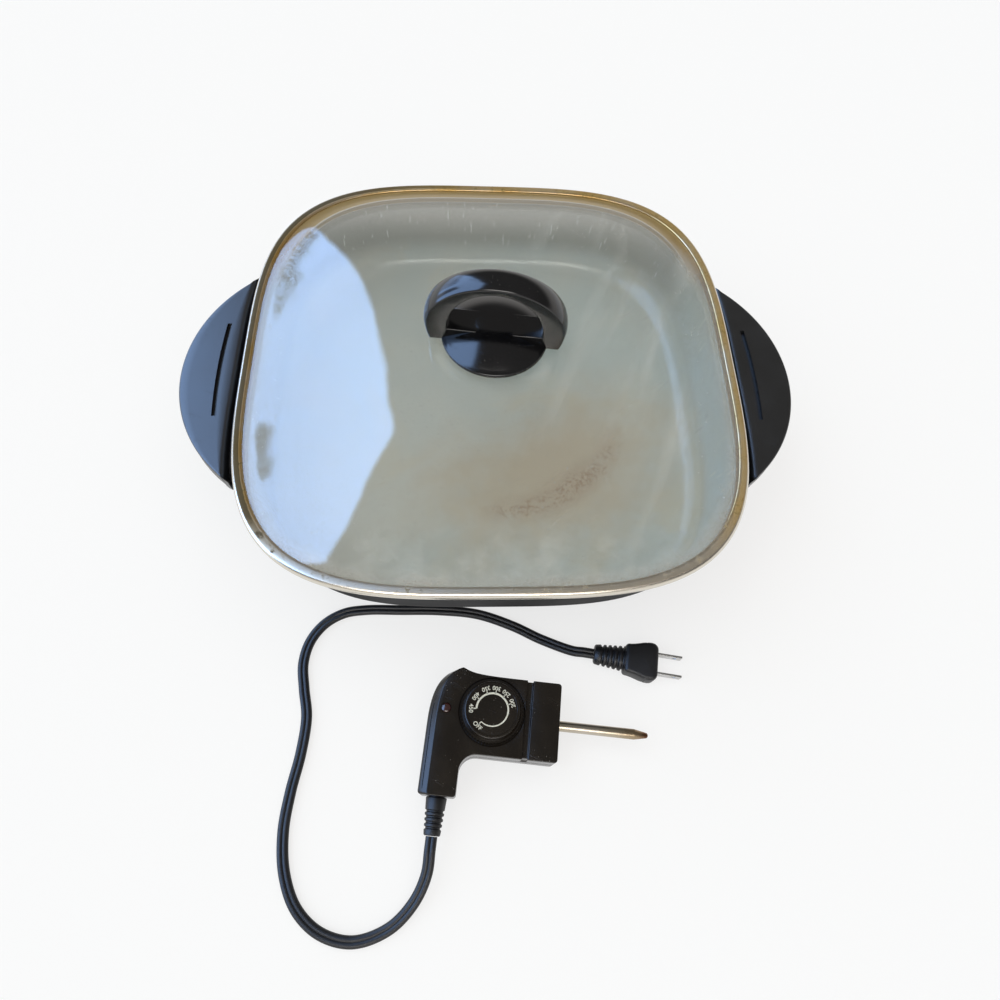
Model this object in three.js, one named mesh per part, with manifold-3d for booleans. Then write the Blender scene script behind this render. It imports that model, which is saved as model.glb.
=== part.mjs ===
// Square electric skillet with a lift-off domed glass lid and a plug-in heat control.
// Units are millimetres, +Z is up, +Y points away from the user and +X to the user's right.
// The skillet stands on its legs; its heat control lies unplugged in front of it.
import * as THREE from 'three';
import { mergeVertices } from 'three/addons/utils/BufferGeometryUtils.js';
import Module from 'manifold-3d';

const wasm = await Module();
wasm.setup();

// Fits, shared by all pieces
const clearance = 0.3;          // gap between two pieces that touch
const runningGap = 0.35;        // gap around a turning shaft
const overrun = 5;              // how far a cutter passes the face it cuts
const embed = 1;                // how far a boss reaches into the wall that carries it

// Pan
const rimHeight = 82;           // top of the pan's lip over the table
const panInnerHalf = 157.5;     // half width of the mouth, inside
const panWall = 3.4;
const panDepth = 57.5;
const panFloor = 4.5;           // thickness of the floor
const wallLean = 6;             // how much the wall leans in towards the floor, on each side
const floorFillet = 15;         // inside radius between wall and floor
const lipWidth = 6;
const lipHeight = 4;
const lipRound = 0.8;
const cornerPower = 3.5;        // power of the superellipse that rounds the square

// Lid
const lidOverlap = 7.5;         // steel band's outer line, out from the pan's mouth
const bandWidth = 6.6;
const bandHeight = 6.6;
const bandSheet = 0.7;
const bandRound = 2.2;
const glassThickness = 4;
const glassEdgeSeat = 1.6;      // gap from the glass edge to the band's outermost line
const domeRise = 25.7;
const domeFlange = 8;           // flat edge of the glass, seen from above
const domePower = 2.3;

// Lid handle
const handleTurn = -6;          // degrees that the handle is turned on the lid
const dishRadius = 34;
const dishEdge = 3.4;
const dishRise = 9.4;
const loopHalf = 44.5;          // half width over the loop
const loopFootHalf = 42.5;
const loopHeight = 50.5;        // from the underside of the disc to the top of the loop
const loopShoulder = 13.4;      // height where the loop is widest
const loopWidth = 17;           // front to back
const loopRound = 2.2;
const loopTopWall = 6.2;
const gapHalf = 29.4;           // half width of the finger gap
const gapFloor = 11.4;          // floor of the finger gap over the underside
const loopFootLift = 1.6;
const gasketThickness = 0.8;
const gasketRadius = 12;
const lidScrewRadius = 2.4;
const lidScrewReach = 9;        // how far the screw goes into the handle
const lidScrewHead = 5.2;
const lidScrewHeadHeight = 3;
const lidWasherRadius = 9;
const lidWasherThickness = 1.2;

// Side handles with their aprons and legs
const gripDepth = 46.3;         // outermost point of a grip, out from the pan's lip
const gripArc = 103;          // radius of a grip's outline
const gripDrop = 10;            // top of a grip under the pan's lip
const gripThickness = 4.5;
const gripLip = 11;             // depth of a grip's turned-down edge
const gripLipWall = 4;
const gripRound = 1.2;
const shoulderWidth = 5;        // rolled shoulder, from the apron's inner face to the flat of the grip
const shoulderGap = 7.5;        // gap from the pan's lip to the apron near its top
const apronWall = 4.5;
const apronTopSpan = 86;        // half span of the apron along the pan's side, at the top
const legOuter = 62;            // half distance over the two legs
const legInner = 36;            // half distance between the two legs
const doorwayRise = 11.5;       // top of the way in for the heat control, over the pan's floor
const doorwayCorner = 9;
const footInset = 12;           // inner face of a leg at the table, in from the pan's lip
const slotSetOut = 8;           // middle of the slot in a grip, out from the shoulder
const slotShift = 3;            // middle of the slot, towards the back
const slotDepth = 3;
const slotLength = 76;
const slotWidth = 3;
const flangeThickness = 4;
const flangeLength = 20.5;      // how far in the screw flange goes under the pan
const legScrewInset = 14;       // place of the leg screws, in from the leg
const legScrewSide = 48;        // place of the leg screws along the pan's side
const legScrewRadius = 1.9;
const legScrewHead = 3.7;
const legScrewHeadHeight = 2.2;
const bossRadius = 5.6;
const bossHeight = 3.7;

// Heating element and its socket
const elementRadius = 4;
const elementInset = 45;        // side of the element's loop, in from the socket guard's face
const elementCorner = 38;
const elementTurn = 20;         // radius where the element turns out to the socket
const elementRoof = 0.5;        // metal between the element's groove and the floor
const elementStep = 14.8;       // length of one straight step along the element
const ribWidth = 15;
const pinSpacing = 28.6;
const pinRadius = 2.4;
const pinReach = 26;            // how far the pins stand out of the guard's plate
const beadRadius = 4.2;
const beadLength = 6;
const guardInset = 11.5;        // outer face of the socket guard's plate, in from the legs
const guardPlate = 2.4;
const guardPlay = 2;            // gap between the control's end and a cheek
const guardCheek = 2.2;
const guardCheekLength = 20;
const socketStandoff = 13;      // gap from the guard's plate to the control's end when plugged in
const guardHeight = 18;
const probeBossHalf = 6;
const lugHalf = 3.2;
const lugLength = 9;
const guardScrewRadius = 1.3;
const guardScrewHead = 2.6;
const guardScrewHeadHeight = 1.6;
const guardScrewReach = 7;

// Heat control, in its own frame: the dial's axis is the origin, +X runs along the probe
const controlTurn = -7;         // degrees that it lies turned, seen from above
const controlAhead = 54.8;      // how far the dial's axis lies in front of the pan's lip
const controlAside = -2.5;
const housingHeight = 28;
const housingWall = 2.2;
const housingEdge = 1.8;        // rounding of the housing's long edges
const headSide = 9.1;           // housing beside each heater pin, at the end that meets the socket
const headTail = 17.7;          // from the band groove to that end
const probeOffset = -2.2;       // the probe's axis, beside the dial's
const elbowMargin = 10.7;       // far side of the housing's elbow, out from the lamp
const elbowSpan = 18.4;         // from that side to the elbow's peak
const elbowRise = 3.8;          // the peak over the housing's side
const legWidth = 22.5;          // the leg that holds the cord
const legLength = 24.7;
const innerBend = 10;
const grooveGap = 1.7;          // from the dial's edge to the band groove across the housing
const grooveWidth = 3.6;
const grooveDepth = 1.6;
const sideChamfer = 5;
const screwPostRadius = 3.4;
const housingScrewRadius = 1.3;
const housingScrewHead = 2.7;
const housingScrewHeadHeight = 1.7;
const housingScrewReach = 22;
const postLift = 5;             // underside of the upper posts over the lower ones' feet

// Temperature probe
const probeRadius = 3.2;
const probeBore = 2.3;
const probeLength = 57.5;         // outside the housing
const probeCone = 8.5;
const probeTip = 1.8;           // how blunt the probe's end is
const probeTail = 9;            // inside the housing
const probeRodRadius = 1.3;
const probeRodTail = 7;
const collarRadius = 6.2;
const collarThickness = 2;

// Dial
const dialRadius = 19;
const dialFace = 16.3;
const dialHeight = 9;
const dialSkirt = 3.2;          // height of the knurled skirt
const dialGripCount = 40;
const dialGripDepth = 0.6;
const dialSeat = 1;             // how deep the dial's seat is sunk in the housing
const dialSeatMargin = 1.2;
const shaftRadius = 3;
const clipRadius = 5.4;
const clipThickness = 1;

// Pieces inside the housing
const contactHalf = 4.4;
const contactBore = 3.3;
const contactLength = 14;
const pinHoleRadius = 4.4;
const baseThickness = 3;
const baseHalf = 12;
const baseFrom = -14;
const baseTo = 15;
const leafHalf = 3;
const leafThickness = 0.6;
const leafLength = 28;
const bladeThickness = 0.9;
const bladeLift = 3.2;          // bimetal blade over the thermostat's base
const leafLift = 6.2;           // contact leaf over the base
const postRadius = 2.2;
const postHeight = 9;
const lampGap = 9;              // middle of the lamp, out from the dial's edge
const lampY = -0.6;
const lensRadius = 2.8;
const lensCrown = 0.9;
const lampRadius = 2.4;
const lampLength = 9;
const resistorRadius = 1.6;
const resistorLength = 9;
const resistorDrop = 14;        // the resistor lies this far behind the lamp, along the leg
const wireRadius = 1.1;
const wireSpacing = 7;
const clampLength = 15;
const clampWidth = 5;
const clampHeight = 3.4;
const clampInset = 9.8;         // middle of the clamp, in from the end of the leg

// Cord, strain relief and plug
const cordWidth = 8.4;
const cordThickness = 4.6;
const cordSides = 8;
const cordSteps = 48;
const reliefLength = 21;
const reliefRoot = 6.3;
const reliefTip = 4.9;
const reliefNeck = 4.9;
const reliefNeckGap = 0.4;
const reliefFlange = 6.6;
const reliefFlangeThickness = 1.6;
const reliefRibs = 3;
const reliefRibHeight = 0.8;
const plugLength = 22;
const plugWidth = 25;
const plugHeight = 14;
const plugRound = 2.6;
const plugWaist = 3;            // how much the grip narrows towards the cord
const bootLength = 21;
const bootRoot = 6.6;
const bootTip = 5;
const bootRibs = 4;
const bladeSpacing = 12.7;
const bladeWidth = 6.35;
const bladeSheet = 1.5;
const bladeLength = 16.5;
const bladeRoot = 6;            // length of a blade inside the plug
const plugX = 98;               // middle of the plug's body from the pan's middle
const plugAhead = 21;           // its distance in front of the pan's lip
const plugTurn = -10;

// The cord's route on the table, hand chosen: [x, distance in front of the pan's lip, height of its middle]
const cordRoute = [
  [-41.2, 142.5, 10.5], [-48.5, 157, 5.4], [-62, 169.5, 3], [-82, 175.5, 2.8], [-101, 170.8, 2.8],
  [-115.5, 158.5, 2.8], [-124, 140.5, 2.8], [-127, 118.5, 2.8], [-125, 96.5, 2.8], [-121, 74.5, 2.8],
  [-119.5, 52.5, 2.8], [-122.8, 34.5, 2.8], [-124.8, 18.5, 2.8], [-121.6, 4, 2.8], [-113, -7.8, 2.8],
  [-100.6, -15, 2.8], [-86, -17.2, 2.8], [-62, -17, 2.8], [-36, -16.5, 2.8], [-10, -13.5, 2.8],
  [14, -5, 2.8], [33, 4.5, 3.2],
];

// Smoothness
const outlineSides = 44;
const roundSides = 16;
const smallSides = 8;
const bootSides = 12;
const arcSteps = 4;

const degrees = THREE.MathUtils.degToRad;

// Looks of the materials
const finish = (color, roughness, metalness) => (
  new THREE.MeshStandardMaterial({ color, roughness, metalness }));
const finishes = {
  ceramic: finish(0x9fa39a, 0.45, 0.1),
  glass: new THREE.MeshStandardMaterial({ color: 0xcfd8d8, roughness: 0.05, transparent: true, opacity: 0.35 }),
  stainless: finish(0xb8a987, 0.3, 0.9),
  phenolic: finish(0x141416, 0.4, 0),
  gloss: finish(0x0e0e10, 0.2, 0),
  steel: finish(0x9a9aa0, 0.35, 0.9),
  sheath: finish(0x5b5650, 0.6, 0.6),
  insulator: finish(0xe6e2d6, 0.7, 0),
  silicone: finish(0x2a2a2c, 0.8, 0),
  brass: finish(0xb08a45, 0.35, 0.9),
  lens: finish(0x7a3a2a, 0.15, 0),
  rubber: finish(0x121214, 0.7, 0),
};

// Welds a geometry into an indexed, closed triangle mesh
function weld(source) {
  const bare = new THREE.BufferGeometry();
  bare.setAttribute('position', source.getAttribute('position').clone());
  if (source.index) bare.setIndex(source.index.clone());
  const merged = mergeVertices(bare);
  const index = merged.index.array;
  const kept = [];
  for (let i = 0; i < index.length; i += 3) {
    const [a, b, c] = [index[i], index[i + 1], index[i + 2]];
    if (a !== b && b !== c && c !== a) kept.push(a, b, c);
  }
  merged.setIndex(kept);
  return merged;
}

function solid(source) {
  const mesh = weld(source);
  return new wasm.Manifold(new wasm.Mesh({
    numProp: 3,
    vertProperties: new Float32Array(mesh.getAttribute('position').array),
    triVerts: new Uint32Array(mesh.index.array),
  }));
}

function toGeometry(body) {
  const mesh = body.getMesh();
  const geometry = new THREE.BufferGeometry();
  geometry.setAttribute('position', new THREE.BufferAttribute(new Float32Array(mesh.vertProperties), 3));
  geometry.setIndex(Array.from(mesh.triVerts));
  geometry.computeVertexNormals();
  return geometry;
}

const join = (...parts) => parts.map(asSolid).reduce((all, next) => all.add(next));
const cut = (body, ...tools) => tools.map(asSolid).reduce((all, next) => all.subtract(next), asSolid(body));
const common = (a, b) => asSolid(a).intersect(asSolid(b));
function asSolid(piece) {
  return piece.isBufferGeometry ? solid(piece) : piece;
}

// One point of the rounded square of a half width, at an angle
function squarePoint(half, angle) {
  const [c, s] = [Math.cos(angle), Math.sin(angle)];
  const reach = (v) => Math.sign(v) * Math.abs(v) ** (2 / cornerPower);
  return [half * reach(c), half * reach(s)];
}

// Half width left of the rounded square at a place along its side
function squareReach(half, side) {
  return half * (1 - (Math.abs(side) / half) ** cornerPower) ** (1 / cornerPower);
}

// Sweeps a profile of [half width, height] points round the rounded square.
// The profile runs counter-clockwise; it starts and ends on the axis, or closes on itself.
function squareSweep(profile) {
  const positions = [];
  const rings = profile.map(([half, z]) => {
    const count = half === 0 ? 1 : outlineSides;
    const first = positions.length / 3;
    for (let i = 0; i < count; i += 1) {
      const [x, y] = squarePoint(half, (2 * Math.PI * i) / outlineSides);
      positions.push(x, y, z);
    }
    return { first, count };
  });
  const triangles = [];
  const at = (ring, i) => ring.first + (ring.count === 1 ? 0 : i % outlineSides);
  const closed = profile[0][0] !== 0;
  for (let k = 0; k < rings.length - (closed ? 0 : 1); k += 1) {
    const [low, high] = [rings[k], rings[(k + 1) % rings.length]];
    for (let i = 0; i < outlineSides; i += 1) {
      if (low.count > 1) triangles.push(at(low, i), at(low, i + 1), at(high, i));
      if (high.count > 1) triangles.push(at(low, i + 1), at(high, i + 1), at(high, i));
    }
  }
  const geometry = new THREE.BufferGeometry();
  geometry.setAttribute('position', new THREE.Float32BufferAttribute(positions, 3));
  geometry.setIndex(triangles);
  geometry.computeVertexNormals();
  return geometry;
}

// A turned piece: profile of [radius, height] points, counter-clockwise, about the Z axis
function turned(profile, sides = roundSides) {
  const points = profile.map(([radius, height]) => new THREE.Vector2(radius, height));
  if (profile[0][0] !== 0) points.push(points[0].clone());
  return new THREE.LatheGeometry(points, sides).rotateX(Math.PI / 2);
}

// A round bar along Z, from one height to another
function upright(radius, x, y, from, to, sides = smallSides) {
  return new THREE.CylinderGeometry(radius, radius, to - from, sides)
    .rotateX(Math.PI / 2).translate(x, y, (from + to) / 2);
}

// A round bar along X
function lengthwise(radius, from, to, y, z, sides = smallSides) {
  return new THREE.CylinderGeometry(radius, radius, to - from, sides)
    .rotateZ(Math.PI / 2).translate((from + to) / 2, y, z);
}

function block(x, y, z) {
  return new THREE.BoxGeometry(x[1] - x[0], y[1] - y[0], z[1] - z[0])
    .translate((x[0] + x[1]) / 2, (y[0] + y[1]) / 2, (z[0] + z[1]) / 2);
}

// A plan outline raised from one height to another; round bevels both its edges inwards
function raised(shape, from, to, round = 0) {
  const bevel = round > 0
    ? { bevelEnabled: true, bevelThickness: round, bevelSize: round, bevelOffset: -round, bevelSegments: 2 }
    : { bevelEnabled: false };
  return new THREE.ExtrudeGeometry(shape, { depth: to - from - 2 * round, curveSegments: arcSteps, ...bevel })
    .translate(0, 0, from + round);
}

// A screw standing on its head: head below, shank up
function screw(shankRadius, headRadius, headHeight, reach) {
  return turned([
    [0, 0], [headRadius * 0.8, 0], [headRadius, headHeight * 0.4], [headRadius, headHeight],
    [shankRadius, headHeight], [shankRadius, headHeight + reach - shankRadius],
    [0, headHeight + reach],
  ], smallSides);
}

// Points of an arc about a centre, from one angle to another, in degrees
function arc([cx, cy], radius, from, to, steps = arcSteps) {
  return Array.from({ length: steps + 1 }, (_, i) => {
    const angle = degrees(from + ((to - from) * i) / steps);
    return [cx + radius * Math.cos(angle), cy + radius * Math.sin(angle)];
  });
}

const outline = (points) => new THREE.Shape(points.map(([x, y]) => new THREE.Vector2(x, y)));

function piece(name, source, look) {
  const geometry = weld(source.isBufferGeometry ? source : toGeometry(source));
  geometry.computeVertexNormals();
  const mesh = new THREE.Mesh(geometry, look);
  mesh.name = name;
  return mesh;
}

// Places and sizes that several pieces share
const lipHalf = panInnerHalf + lipWidth;
const wallFoot = panInnerHalf - wallLean;
const lidHalf = panInnerHalf + lidOverlap;
const gripReach = lipHalf + gripDepth;
const shoulderHalf = lipHalf + shoulderGap;
const gripInnerHalf = shoulderHalf + shoulderWidth;
const footHalf = lipHalf - footInset;
const legScrewHalf = footHalf - legScrewInset;
const guardFace = footHalf - guardInset;
const elementHalf = guardFace - elementInset;
const pinHalf = pinSpacing / 2;
const headHalf = pinHalf + headSide;
const guardHalf = headHalf + guardPlay + guardCheek;
const lugSide = headHalf + guardPlay - guardScrewHead - clearance;
const lampX = -dialRadius - lampGap;
const elbowLeft = lampX - elbowMargin;
const elbowPeakX = elbowLeft + elbowSpan;
const elbowPeakY = probeOffset + headHalf + elbowRise;
const legRight = elbowLeft + legWidth;
const legEnd = probeOffset - headHalf - legLength;
const cordX = elbowLeft + legWidth / 2;
const clampY = legEnd + clampInset;
const grooveFrom = dialRadius + grooveGap;
const headFront = grooveFrom + grooveWidth + headTail;

// Heights that several pieces share
const floorTop = rimHeight - panDepth;
const floorBottom = floorTop - panFloor;
const elementAxis = floorBottom - elementRoof - elementRadius + clearance;
const bandBottom = rimHeight + clearance;
const glassBottom = bandBottom + bandSheet + clearance;
const glassTop = glassBottom + glassThickness;
const apex = glassTop + domeRise;
const probeAxis = housingHeight / 2;
const baseBottom = housingWall + clearance;
const baseTop = baseBottom + baseThickness;
const doorwayHeight = floorTop + doorwayRise;

// The cast pan: bowl, element rib, probe boss, screw bosses and socket lugs
function pan() {
  const centre = [wallFoot - floorFillet, floorTop + floorFillet];
  const outerRadius = floorFillet + panWall;
  const bowl = squareSweep([
    [0, floorBottom], [centre[0] - panWall, floorBottom],
    ...arc(centre, outerRadius, -90, 0),
    [panInnerHalf + panWall, rimHeight - lipHeight],
    [lipHalf - lipRound, rimHeight - lipHeight], [lipHalf, rimHeight - lipHeight + lipRound],
    [lipHalf, rimHeight - lipRound], [lipHalf - lipRound, rimHeight],
    [panInnerHalf + lipRound, rimHeight], [panInnerHalf, rimHeight - lipRound],
    ...arc(centre, floorFillet, 0, -90), [0, floorTop],
  ]);

  const [ribOuter, ribInner] = [elementHalf + ribWidth / 2, elementHalf - ribWidth / 2];
  const ribShape = roundSquare(ribOuter, elementCorner + ribWidth / 2);
  ribShape.holes.push(roundSquare(ribInner, elementCorner - ribWidth / 2));
  const grooveHalf = elementRadius + 2 * clearance;
  const grooveShape = roundSquare(elementHalf + grooveHalf, elementCorner + grooveHalf);
  grooveShape.holes.push(roundSquare(elementHalf - grooveHalf, elementCorner - grooveHalf));
  const ribBottom = elementAxis - elementRadius;
  const mouthHalf = pinHalf + elementTurn;
  const rib = cut(
    raised(ribShape, ribBottom, floorBottom + embed),
    block([ribInner - overrun, ribOuter + overrun], [-mouthHalf, mouthHalf], [0, rimHeight]),
  );
  const groove = raised(grooveShape, 0, elementAxis + elementRadius + clearance);

  const probeReach = probeLength - socketStandoff + clearance;
  const bossFrom = guardFace - probeReach - overrun;
  const probeBoss = block(
    [bossFrom, guardFace - guardPlate - clearance], [-probeBossHalf, probeBossHalf],
    [elementAxis - probeBossHalf, floorBottom + embed],
  );
  const probeHole = lengthwise(probeRadius + runningGap, guardFace - probeReach, guardFace, 0, elementAxis,
    roundSides);

  const additions = [rib, probeBoss];
  const cuts = [groove, probeHole];
  for (const side of [-1, 1]) {
    for (const end of [-1, 1]) {
      const [x, y] = [side * legScrewHalf, end * legScrewSide];
      additions.push(upright(bossRadius, x, y, floorBottom - bossHeight, floorTop - panFloor / 4));
      cuts.push(upright(legScrewRadius + clearance, x, y, 0, floorBottom + panFloor / 3));
    }
    const y = side * lugSide;
    additions.push(block(
      [guardFace - guardPlate - clearance - lugLength, guardFace - guardPlate - clearance],
      [y - lugHalf, y + lugHalf], [elementAxis - lugHalf, floorBottom + embed],
    ));
    cuts.push(lengthwise(guardScrewRadius + clearance, guardFace - guardPlate - guardScrewReach - clearance,
      guardFace, y, elementAxis));
  }
  const clipped = common(join(...additions), underFloor());
  return cut(join(bowl, clipped), ...cuts);
}

// Everything that may stand under the pan's cooking surface, so that no boss shows inside
function underFloor() {
  const centre = [wallFoot - floorFillet, floorTop + floorFillet];
  return squareSweep([
    [0, 0], [panInnerHalf + overrun, 0], [panInnerHalf + overrun, centre[1]],
    ...arc(centre, floorFillet + panWall / 2, 0, -90), [0, floorTop - panFloor / 3],
  ]);
}

function roundSquare(half, corner) {
  const inner = half - corner;
  const shape = new THREE.Shape();
  shape.moveTo(half, -inner);
  shape.lineTo(half, inner);
  shape.absarc(inner, inner, corner, 0, Math.PI / 2);
  shape.absarc(-inner, inner, corner, Math.PI / 2, Math.PI);
  shape.absarc(-inner, -inner, corner, Math.PI, Math.PI * 1.5);
  shape.absarc(inner, -inner, corner, Math.PI * 1.5, Math.PI * 2);
  return shape;
}

// The sheathed element: in from the socket, round the loop and out again
function elementRod() {
  const end = guardFace - guardPlate - beadLength - 2 * clearance;
  const [half, corner, turn] = [elementHalf, elementCorner, elementTurn];
  const inner = half - corner;
  const path = new THREE.CurvePath();
  const at = (x, y) => new THREE.Vector3(x, y, elementAxis);
  const bend = (cx, cy, radius, from, to) => {
    const points = arc([cx, cy], radius, from, to, 2 * arcSteps).map(([x, y]) => at(x, y));
    for (let i = 1; i < points.length; i += 1) path.add(new THREE.LineCurve3(points[i - 1], points[i]));
  };
  const run = (from, to) => path.add(new THREE.LineCurve3(from, to));
  run(at(end, -pinHalf), at(half + turn, -pinHalf));
  bend(half + turn, -pinHalf - turn, turn, 90, 180);
  run(at(half, -pinHalf - turn), at(half, -inner));
  bend(inner, -inner, corner, 0, -90);
  run(at(inner, -half), at(-inner, -half));
  bend(-inner, -inner, corner, -90, -180);
  run(at(-half, -inner), at(-half, inner));
  bend(-inner, inner, corner, 180, 90);
  run(at(-inner, half), at(inner, half));
  bend(inner, inner, corner, 90, 0);
  run(at(half, inner), at(half, pinHalf + turn));
  bend(half + turn, pinHalf + turn, turn, 180, 270);
  run(at(half + turn, pinHalf), at(end, pinHalf));
  const section = outline(arc([0, 0], elementRadius - clearance / 2, 0, 360, 8).slice(0, 8));
  const steps = Math.round(path.getLength() / elementStep);
  return new THREE.ExtrudeGeometry(section, { steps, bevelEnabled: false, extrudePath: path });
}

// One ceramic bead round a heater pin, at the end of the sheath
function bead(side) {
  const from = guardFace - guardPlate - clearance - beadLength;
  return turned([
    [pinRadius + clearance, 0], [beadRadius, 0],
    [beadRadius, beadLength], [pinRadius + clearance, beadLength],
  ], smallSides).rotateY(Math.PI / 2).translate(from, side * pinHalf, elementAxis);
}

function terminalPin(side) {
  const from = guardFace - guardPlate - clearance - beadLength;
  const length = guardFace + pinReach - from;
  return turned([
    [0, 0], [pinRadius, 0], [pinRadius, length - pinRadius], [pinRadius / 2, length], [0, length],
  ], smallSides).rotateY(Math.PI / 2).translate(from, side * pinHalf, elementAxis);
}

// Plate with two cheeks; the control's end slides in between them
function socketGuard() {
  const [low, high] = [elementAxis - guardHeight / 2, elementAxis + guardHeight / 2];
  const top = Math.min(high, floorBottom - clearance);
  const plate = block([guardFace - guardPlate, guardFace], [-guardHalf, guardHalf], [low, top]);
  const cheeks = [-1, 1].map((side) => block(
    [guardFace - guardPlate, guardFace + guardCheekLength],
    [side * guardHalf, side * (guardHalf - guardCheek)].sort((a, b) => a - b), [low, top],
  ));
  const hole = (radius, y, sides) => lengthwise(radius, guardFace - overrun, guardFace + embed, y, elementAxis,
    sides);
  const holes = [-1, 1].flatMap((side) => [
    hole(pinRadius + 1.5 * clearance, side * pinHalf, smallSides),
    hole(guardScrewRadius + clearance, side * lugSide, smallSides),
  ]);
  return cut(join(plate, ...cheeks), ...holes, hole(probeRadius + 2 * runningGap, 0, roundSides));
}

// One side handle: crescent grip, rolled shoulder, apron and two legs in one moulding
function sideHandle(slotMiddle) {
  const top = rimHeight - gripDrop;
  const flangeTop = floorBottom - bossHeight - clearance;
  const outer = apronWall;
  const profile = [
    [footHalf, 0], [footHalf + outer, 0], [footHalf + outer * 1.6, floorTop * 0.8],
    [footHalf + outer * 2.2, floorTop * 1.15], [footHalf + outer * 3.4, floorTop * 1.6],
    [shoulderHalf + outer * 0.6, top * 0.68], [shoulderHalf + outer, top * 0.82],
    [gripInnerHalf + outer, top - gripThickness], [gripInnerHalf + outer, top],
    [gripInnerHalf, top], [shoulderHalf + outer * 0.55, top - outer * 0.2],
    [shoulderHalf + outer * 0.15, top - outer * 0.75], [shoulderHalf, top - outer * 1.8],
    [shoulderHalf - outer * 0.3, top * 0.76], [shoulderHalf - outer * 1.3, top * 0.62],
    [footHalf + outer * 1.9, floorTop * 1.45], [footHalf + outer, floorTop * 1.1],
    [footHalf + outer * 0.7, floorBottom - bossHeight * 0.2], [footHalf + outer * 0.5, flangeTop],
    [footHalf - flangeLength, flangeTop], [footHalf - flangeLength, flangeTop - flangeThickness],
    [footHalf + outer * 0.2, flangeTop - flangeThickness],
  ];
  const side = outline([
    [-legOuter, -overrun], [-legInner, -overrun], [-legInner, doorwayHeight - doorwayCorner],
    ...arc([-legInner + doorwayCorner, doorwayHeight - doorwayCorner], doorwayCorner, 180, 90),
    ...arc([legInner - doorwayCorner, doorwayHeight - doorwayCorner], doorwayCorner, 90, 0),
    [legInner, -overrun], [legOuter, -overrun], [legOuter + outer / 2, floorTop],
    [(legOuter + apronTopSpan) / 2, top * 0.7], [apronTopSpan, top + overrun],
    [-apronTopSpan, top + overrun], [-(legOuter + apronTopSpan) / 2, top * 0.7],
    [-legOuter - outer / 2, floorTop],
  ]);
  const slab = raised(side, 0, gripReach).rotateX(Math.PI / 2).rotateZ(Math.PI / 2);
  const sweep = outline(arc([gripReach - gripArc, 0], gripArc - gripRound, -90, 90, 8 * arcSteps));
  const apron = common(common(squareSweep(profile), slab), raised(sweep, -overrun, rimHeight));

  const grip = cut(
    raised(crescent(gripReach, gripArc, gripInnerHalf), top - gripLip, top, gripRound),
    raised(crescent(gripReach - gripLipWall, gripArc - gripLipWall, gripInnerHalf + gripLipWall),
      top - gripLip - overrun, top - gripThickness),
  );
  const slotFrom = gripInnerHalf + slotSetOut - slotWidth / 2;
  const slot = block([slotFrom, slotFrom + slotWidth],
    [slotMiddle - slotLength / 2, slotMiddle + slotLength / 2], [top - slotDepth, top + overrun]);
  const flat = block([0, gripReach], [-apronTopSpan, apronTopSpan], [-overrun, 0]);
  const holes = [-1, 1].map((end) => upright(legScrewRadius + clearance, legScrewHalf, end * legScrewSide,
    0, floorBottom));
  return cut(join(apron, grip), slot, flat, ...holes);
}

// The grip's plan: an outer arc and the pan's own curve, set out
function crescent(reach, radius, inner) {
  const centre = reach - radius;
  let side = radius;
  for (let i = 0; i < 40; i += 1) {
    const x = squareReach(inner, Math.min(side, inner * 0.98));
    side = Math.sqrt(Math.max(radius ** 2 - (x - centre) ** 2, 0));
  }
  const tip = (Math.asin(side / radius) * 180) / Math.PI;
  const outerEdge = arc([centre, 0], radius, -tip, tip, 4 * arcSteps);
  const innerEdge = Array.from({ length: 2 * arcSteps - 1 }, (_, i) => {
    const y = side * (1 - (i + 1) / arcSteps);
    return [squareReach(inner, y), y];
  });
  return outline([...outerEdge, ...innerEdge]);
}

function lidGlass() {
  const edge = lidHalf - glassEdgeSeat;
  const flange = edge - domeFlange;
  const rise = (half) => glassTop + domeRise * (1 - (half / flange) ** domePower);
  const crownShares = [0, 0.25, 0.5, 0.7, 0.86, 1];
  const crown = crownShares.map((share) => [share * flange, rise(share * flange)]);
  const hole = lidScrewRadius + 2 * clearance;
  const upper = [[edge - bandSheet, glassTop], ...crown.slice(1).reverse()];
  const lower = crown.slice(1).map(([half, z]) => [half, z - glassThickness]);
  const shell = squareSweep([
    [0, apex - glassThickness], ...lower, [edge - bandSheet, glassBottom],
    [edge, glassBottom + bandSheet], [edge, glassTop - bandSheet], ...upper, [0, apex],
  ]);
  return cut(shell, upright(hole, 0, 0, apex - glassThickness - overrun, apex + overrun, roundSides));
}

// The steel band, rolled over the glass edge
function lidRim() {
  const [inner, outer] = [lidHalf - bandWidth, lidHalf];
  const [low, high] = [bandBottom, bandBottom + bandHeight];
  const r = bandRound;
  return squareSweep([
    [inner, low], [outer - r, low], [outer - r * 0.3, low + r * 0.35], [outer, low + bandHeight / 2],
    [outer - r * 0.3, high - r * 0.35], [outer - r, high], [inner, high - bandSheet / 2],
    [inner, high - bandSheet * 1.5], [outer - r, high - bandSheet * 1.2],
    [outer - bandSheet * 1.4, high - r * 0.7], [outer - bandSheet * 1.4, low + r * 0.6],
    [outer - r, low + bandSheet], [inner, low + bandSheet],
  ]);
}

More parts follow.
